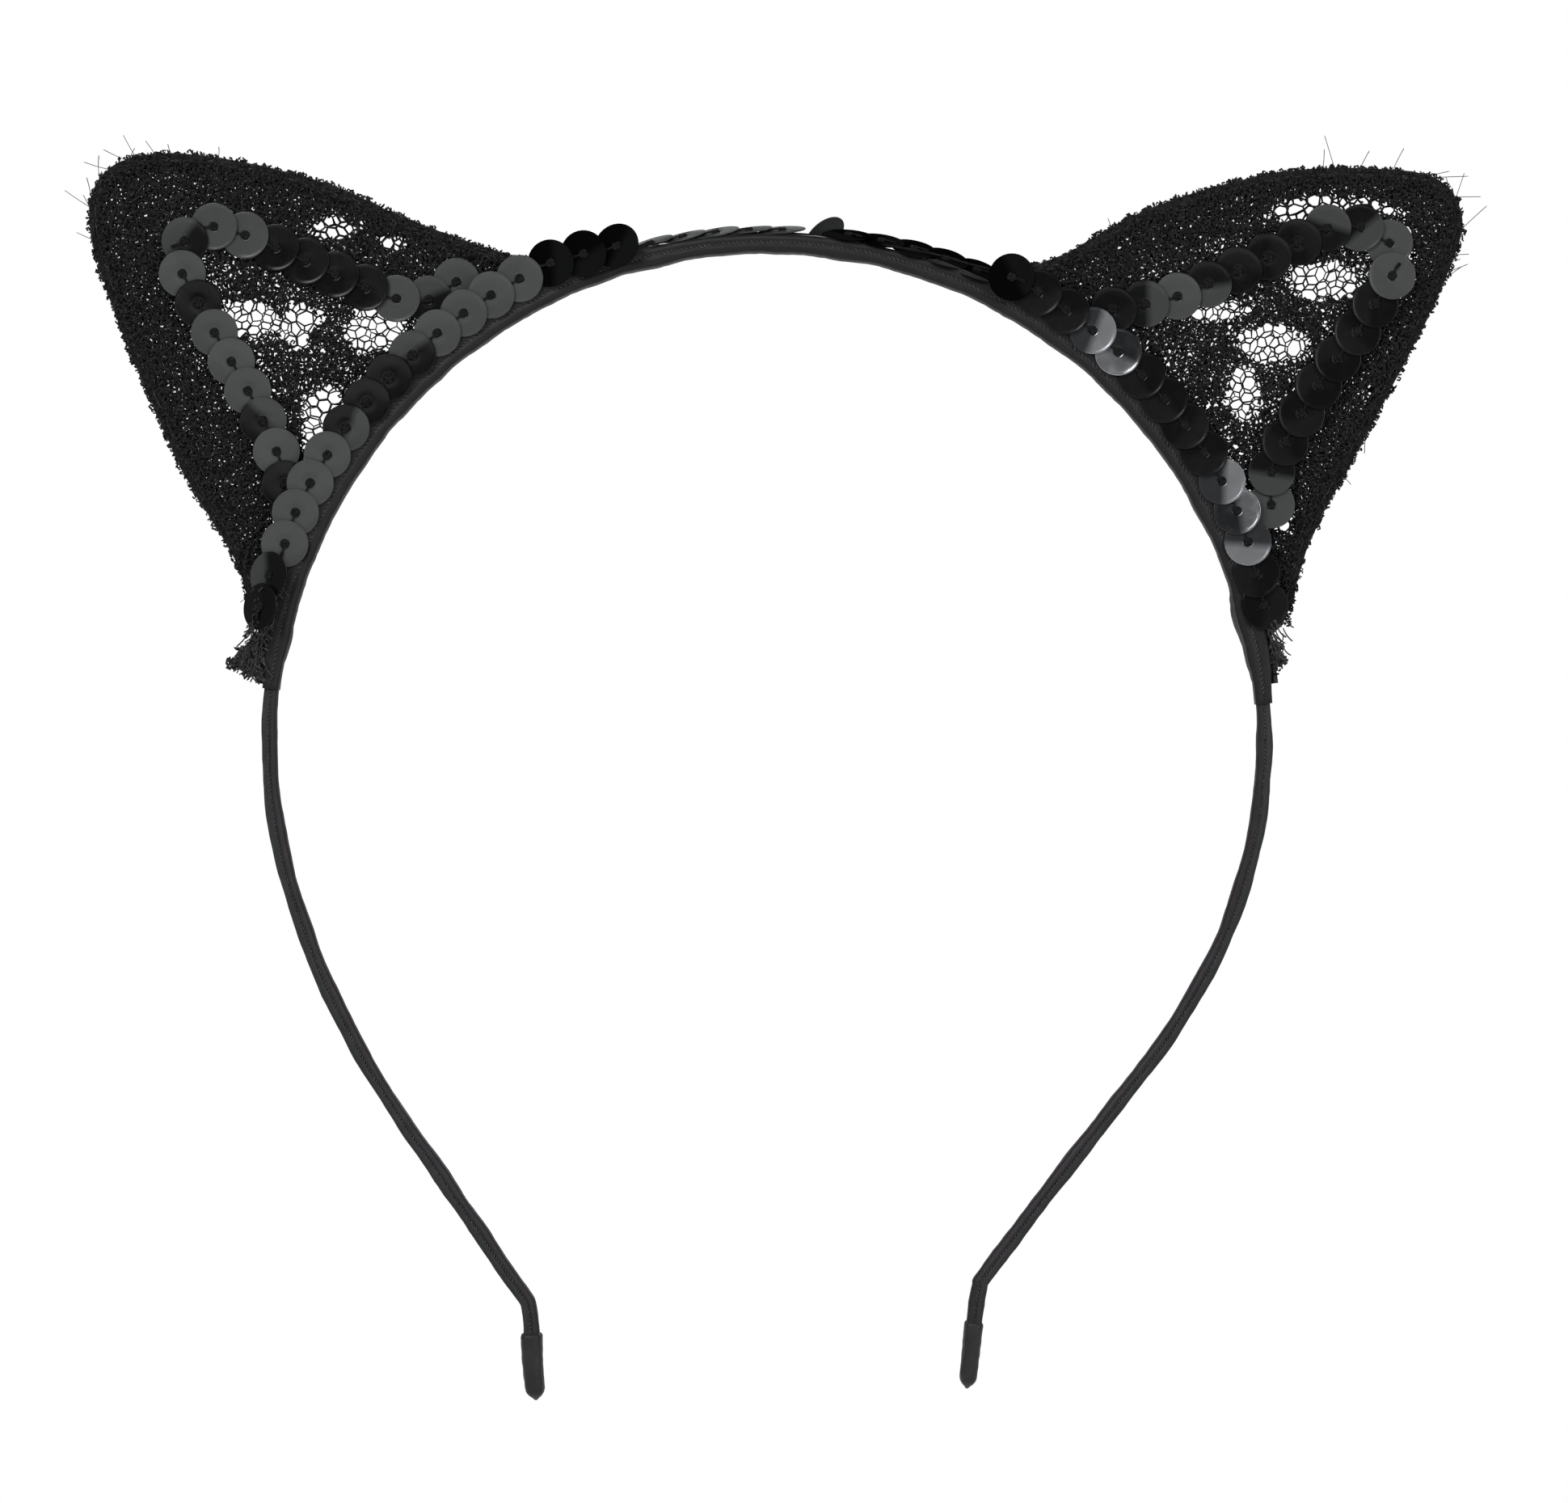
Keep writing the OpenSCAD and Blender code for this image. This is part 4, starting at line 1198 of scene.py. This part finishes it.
# %% Tie the knots
def knot_mesh():
    """Small lobes over a stop that fills the hole, and two strands that leave to one side."""
    bm = bmesh.new()
    for x, y, z in ((0.24, 0.2, 0.12), (-0.22, 0.24, 0.12), (0.2, -0.24, 0.12), (-0.24, -0.2, 0.12),
                    (0, 0, 0.02)):
        place = Matrix.Translation((x * MM, y * MM, z * MM))
        bmesh.ops.create_icosphere(bm, subdivisions=2, radius=0.31 * MM, matrix=place)
    flat = Matrix.Diagonal((1, 1, 0.28, 1))
    bmesh.ops.create_icosphere(bm, subdivisions=2, radius=0.57 * MM, matrix=flat)
    mesh = bpy.data.meshes.new("knot")
    bm.to_mesh(mesh)
    for away in (0.1, -0.1):
        strand = tube_along("strand", [Vector((x * MM, (y + away) * MM, z * MM)) for x, y, z in
                                       ((0.0, 0.0, 0.1), (0.35, 0.02, 0.28), (0.8, 0.06 - away, 0.27),
                                        (1.3, 0.04, 0.22), (1.9, -0.03, 0.16))], 0.12 * MM, sides=5)
        bm.from_mesh(strand)
    bm.to_mesh(mesh)
    bm.free()
    return mesh


knots = {}
knot_pattern = knot_mesh()
for owner, nodes in (("crown", [n for n in strings if n.startswith("crown")]),
                     ("left_ear", [n for n in strings if n.startswith("left")]),
                     ("right_ear", [n for n in strings if n.startswith("right")])):
    points, turns = [], []
    for node in nodes:
        for centre, facing, ahead in strings[node]:
            lap = 1 if facing.dot(strings[node][-1][0] - strings[node][0][0]) > 0 else -1
            points.append(centre)
            turns.append(tuple(facing_turn(ahead * lap, facing)))
    knots[owner] = set_pieces(owner + "_knots", points, knot_pattern, stringer,
                              [("turn", turns, "FLOAT_VECTOR")], Material=sewing_thread)

# %% [markdown]
# ## Loose ends
# Cut net frays, so single hairs of yarn stand off the ears' edges, most of them at the tips, and a scrap of
# lace with a tuft of frayed yarn hangs over the band below each ear. Hairs are bent tubes a tenth of a
# millimetre thick and a few millimetres long. They are far too short to be cords, and belong to the lace.


# %% Stray hairs and frayed tufts
def hair_mesh(bend, seed):
    dice = random.Random(seed)
    points, p, heading = [], Vector((0, 0, 0)), 0.0
    for _ in range(7):
        points.append(p.copy())
        heading += bend + dice.uniform(-0.18, 0.18)
        p += Vector((math.sin(heading), 0.2 * math.sin(heading * 2), math.cos(heading))) * (1 / 6)
    return tube_along("hair", [q * MM for q in points], 0.05 * MM, sides=3)


combed = Tree("Hairs", "GeometryNodeTree",
              [("Geometry", "Geometry", None), ("Pattern", "Object", None), ("Thickness", "Float", 1.0),
               ("Material", "Material", None)], [("Geometry", "Geometry")])
hair_size = combed.add("ShaderNodeCombineXYZ", {"X": combed.given["Thickness"], "Y": combed.given["Thickness"],
                                                "Z": combed.attribute("length", "FLOAT")})
combed.set_down(combed.attribute("turn", "FLOAT_VECTOR"), hair_size.outputs[0])


def stray_hairs(side, count, seed):
    dice = random.Random(seed)
    edge = resampled(ears[side][1], 0.5)
    middle = middle_of(edge)
    points, turns, lengths = [], [], []
    while len(points) < count:
        k = dice.randrange(4, len(edge) - 4)
        p = edge[k]
        at_tip = eased((math.hypot(p.x, p.y) - 92) / 16)
        if dice.random() > 0.15 + 0.85 * at_tip:
            continue
        out = (p - middle).normalized()
        tilt = dice.uniform(-1.15, 1.15)
        way = Vector((out.x * math.cos(tilt) - out.y * math.sin(tilt), dice.uniform(-0.5, 0.5),
                      out.x * math.sin(tilt) + out.y * math.cos(tilt))).normalized()
        points.append(((p.x + out.x * 0.7) * MM, 0.0, (p.y + out.y * 0.7) * MM))
        turns.append(tuple(way.to_track_quat("Z", "Y").to_euler("XYZ")))
        lengths.append(dice.uniform(1.8, 4.2) + 3.0 * at_tip * dice.random() ** 2)
    bend = 0.09 if side == "left" else -0.09
    return set_pieces(f"{side}_stray_hairs", points, hair_mesh(bend, seed), combed,
                      [("turn", turns, "FLOAT_VECTOR"), ("length", lengths, "FLOAT")], Material=lace_yarn)


stray = {"left": stray_hairs("left", 17, 101), "right": stray_hairs("right", 19, 102)}


def tuft(side, count, span, seed):
    """Strands of frayed yarn that run down beside the band, from the ear's foot to its scrap of lace."""
    dice = random.Random(seed)
    points, turns, lengths = [], [], []
    for _ in range(count):
        angle = span[0] + (span[1] - span[0]) * dice.random() ** 0.8
        p = polar(65.7 + dice.gauss(0, 0.62), angle)
        down = (polar(65.7, angle + 0.01 * (span[1] - span[0])) - polar(65.7, angle)).normalized()
        way = Vector((down.x + dice.gauss(0, 0.22), dice.gauss(0, 0.12),
                      down.y + dice.gauss(0, 0.1))).normalized()
        points.append((p.x * MM, (-3.75 + dice.gauss(0, 0.35)) * MM, p.y * MM))
        turns.append(tuple(way.to_track_quat("Z", "Y").to_euler("XYZ")))
        lengths.append(dice.uniform(1.4, 3.2))
    return set_pieces(f"{side}_tuft", points, hair_mesh(0.16, seed), combed,
                      [("turn", turns, "FLOAT_VECTOR"), ("length", lengths, "FLOAT")],
                      Thickness=2.1, Material=frayed_yarn)


def frayed_scrap(side, count, seed):
    """Curls of yarn over the scrap of lace below an ear."""
    low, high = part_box(f"{side}_lace_tail")
    outline = [p / MM for p in flat_outline(f"{side}_lace_tail")]
    dice = random.Random(seed)
    centre = sum(outline, Vector((0, 0))) / len(outline)
    points = []
    for _ in range(count):
        p = outline[dice.randrange(len(outline))].lerp(centre, dice.uniform(0, 1.2))
        points.append(((p.x + dice.gauss(0, 0.22)) * MM, dice.uniform(low[1] - 0.6 * MM, high[1] + 0.4 * MM),
                       (p.y + dice.gauss(0, 0.25)) * MM))
    return set_pieces(f"{side}_frayed_scrap", points, curl_mesh, setter, Seed=seed, Largest=1.7,
                      Material=frayed_yarn)


tails, tufts, scraps = {}, {}, {}
for number, (side, count, span) in enumerate((("left", 210, (161.5, 172)), ("right", 26, (14.5, 10)))):
    node = f"{side}_lace_tail"
    scrap = [p / MM for p in flat_outline(node)]
    tails[side] = net(f"{side}_tail_net", scrap, lambda p: 0.45, lambda p: 1.3, middle_y(node), 41 + number,
                      Material=frayed_yarn)
    tufts[side] = tuft(side, count, span, 121 + number)
    scraps[side] = frayed_scrap(side, 520 - 260 * number, 131 + number)

# %% [markdown]
# ## Putting it together
# Each piece is now hung on the body that carries it, and the solids it replaces are hidden. The arms'
# ribbons and seams stay unhung, with their placement baked into their meshes. The rest rides on one body.


def across(piece):
    """Bakes the piece's placement into its mesh."""
    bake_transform(piece)


def carried(piece, body, slot, *nodes):
    """Hangs a piece on its body and hides the solids it replaces; body is None for a piece left unhung. slot
    is not used.
    """
    if body:
        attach(piece, body)
    if nodes:
        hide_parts(*nodes)


for side in SIDES:
    across(wraps[side])
    across(seams[side])
    carried(wraps[side], None, "satin_ribbon", f"ribbon_{side}_arm")
    carried(seams[side], None, "thread")
    carried(caps[side], f"{side}_arm", "ribbon_end", f"{side}_tip_cap")
carried(crown_wrap, "crown", "satin_ribbon", "ribbon_crown")
carried(cover, "crown", "satin_ribbon", "crown_cover_ribbon")
carried(cover_seam, "crown", "thread")
for (side, layer), piece in lace.items():
    carried(piece, "crown", "lace", f"{side}_ear_lace_{layer}")
    carried(crochet[side, layer], "crown", "lace_border")
for side in SIDES:
    carried(rolled[side], "crown", "lace_border", f"{side}_ear_border")
    carried(rolled_loops[side], "crown", "lace_border")
    carried(stray[side], "crown", "lace")
    carried(tails[side], "crown", "lace", f"{side}_lace_tail")
    carried(tufts[side], "crown", "lace")
    carried(scraps[side], "crown", "lace")
for node, piece in sequins.items():
    carried(piece, "crown", "sequin", node)
for piece in knots.values():
    carried(piece, "crown", "thread")

# %% The lace's outlines
for (side, layer), piece in lace.items():
    outline = ears[side][0]

# %% Finishes for the solids that stay
KEPT = {"steel_strip": spring_steel, "ear_wire": wire_enamel, "thread": sewing_thread,
        "binding": sewing_thread}
for node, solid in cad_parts.items():
    for part, finish in KEPT.items():
        if part in node:
            for slot in solid.material_slots:
                slot.material = finish
print("dressed:", len(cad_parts), "solids")

# %% [markdown]
# ## Light, floor and camera
# Small black things are shot on white with large soft lights. The floor and the room are near white, two
# softboxes in front give the flat discs something pale to mirror, and one behind lights the back. The
# floor lies a little below the tips, so that it doesn't cut them when the arms swing out.


# %% Room, floor and lights
def softbox(name, place, target, wide, high, power):
    data = bpy.data.lights.new(name, "AREA")
    data.shape = "RECTANGLE"
    data.size, data.size_y, data.energy = wide, high, power
    light = bpy.data.objects.new(name, data)
    bpy.context.scene.collection.objects.link(light)
    light.location = place
    light.rotation_euler = (Vector(target) - Vector(place)).to_track_quat("-Z", "Y").to_euler()
    return light


room = bpy.data.worlds.new("White room")
bpy.context.scene.world = room
room.use_nodes = True
room_tree = room.node_tree
room_light = room_tree.nodes["Background"]
room_light.inputs["Color"].default_value = (1, 1, 1, 1)
room_light.inputs["Strength"].default_value = 0.10
seen = add_node(room_tree, "ShaderNodeBackground", {"Color": (1, 1, 1, 1), "Strength": 1.0})
which = add_node(room_tree, "ShaderNodeLightPath")
either = add_node(room_tree, "ShaderNodeMixShader", {0: which.outputs["Is Camera Ray"],
                                                     1: room_light.outputs[0], 2: seen.outputs[0]})
room_tree.links.new(either.outputs[0], room_tree.nodes["World Output"].inputs["Surface"])

floor_low = cad_box[0][2] - 14 * MM
floor_half = 3
floor_mesh = mesh_of("floor", [(x * floor_half, y * floor_half, floor_low)
                               for x, y in ((-1, -1), (1, -1), (1, 1), (-1, 1))], [(0, 1, 2, 3)])
white, white_tree, white_shader = finish_named("White paper", Roughness=0.9, Specular_IOR_Level=0.1)
paper = place_group(white_tree, grain, add_node(white_tree, "ShaderNodeTexCoord").outputs["Object"], Size=60.0)
white_tree.links.new(between(white_tree, paper.outputs["Mask"], (0.86, 0.86, 0.86), (0.9, 0.9, 0.9)),
                     white_shader.inputs["Base Color"])
bright_paper = add_node(white_tree, "ShaderNodeEmission", {"Color": (1, 1, 1, 1), "Strength": 1.0})
paper_seen = add_node(white_tree, "ShaderNodeMixShader",
                      {0: add_node(white_tree, "ShaderNodeLightPath").outputs["Is Camera Ray"],
                       1: white_shader.outputs[0], 2: bright_paper.outputs[0]})
white_tree.links.new(paper_seen.outputs[0], white_tree.nodes["Material Output"].inputs["Surface"])
dress(floor_mesh, "floor", white)

softbox("Key softbox", (-0.55, -1.0, 0.75), (0, 0, 0.02), 0.7, 0.7, 5.5)
softbox("Fill softbox", (0.75, -0.9, 0.35), (0, 0, 0.0), 0.6, 0.8, 2.6)
softbox("Back softbox", (0.1, 1.1, 0.8), (0, 0, 0.0), 0.9, 0.6, 3.0)

# %% Camera
FRAME_WIDE = 0.1989
DISTANCE = 1.5
camera_data = bpy.data.cameras.new("Camera")
camera_data.sensor_width = 36
camera_data.lens = 36 * DISTANCE / FRAME_WIDE
camera = bpy.data.objects.new("Camera", camera_data)
bpy.context.scene.collection.objects.link(camera)
camera.location = (0.0022, -DISTANCE, -0.0013)
camera.rotation_euler = (math.pi / 2, 0, 0)
bpy.context.scene.camera = camera
bpy.context.scene.view_settings.view_transform = "Standard"
print("camera", round(camera_data.lens, 1), "mm lens")
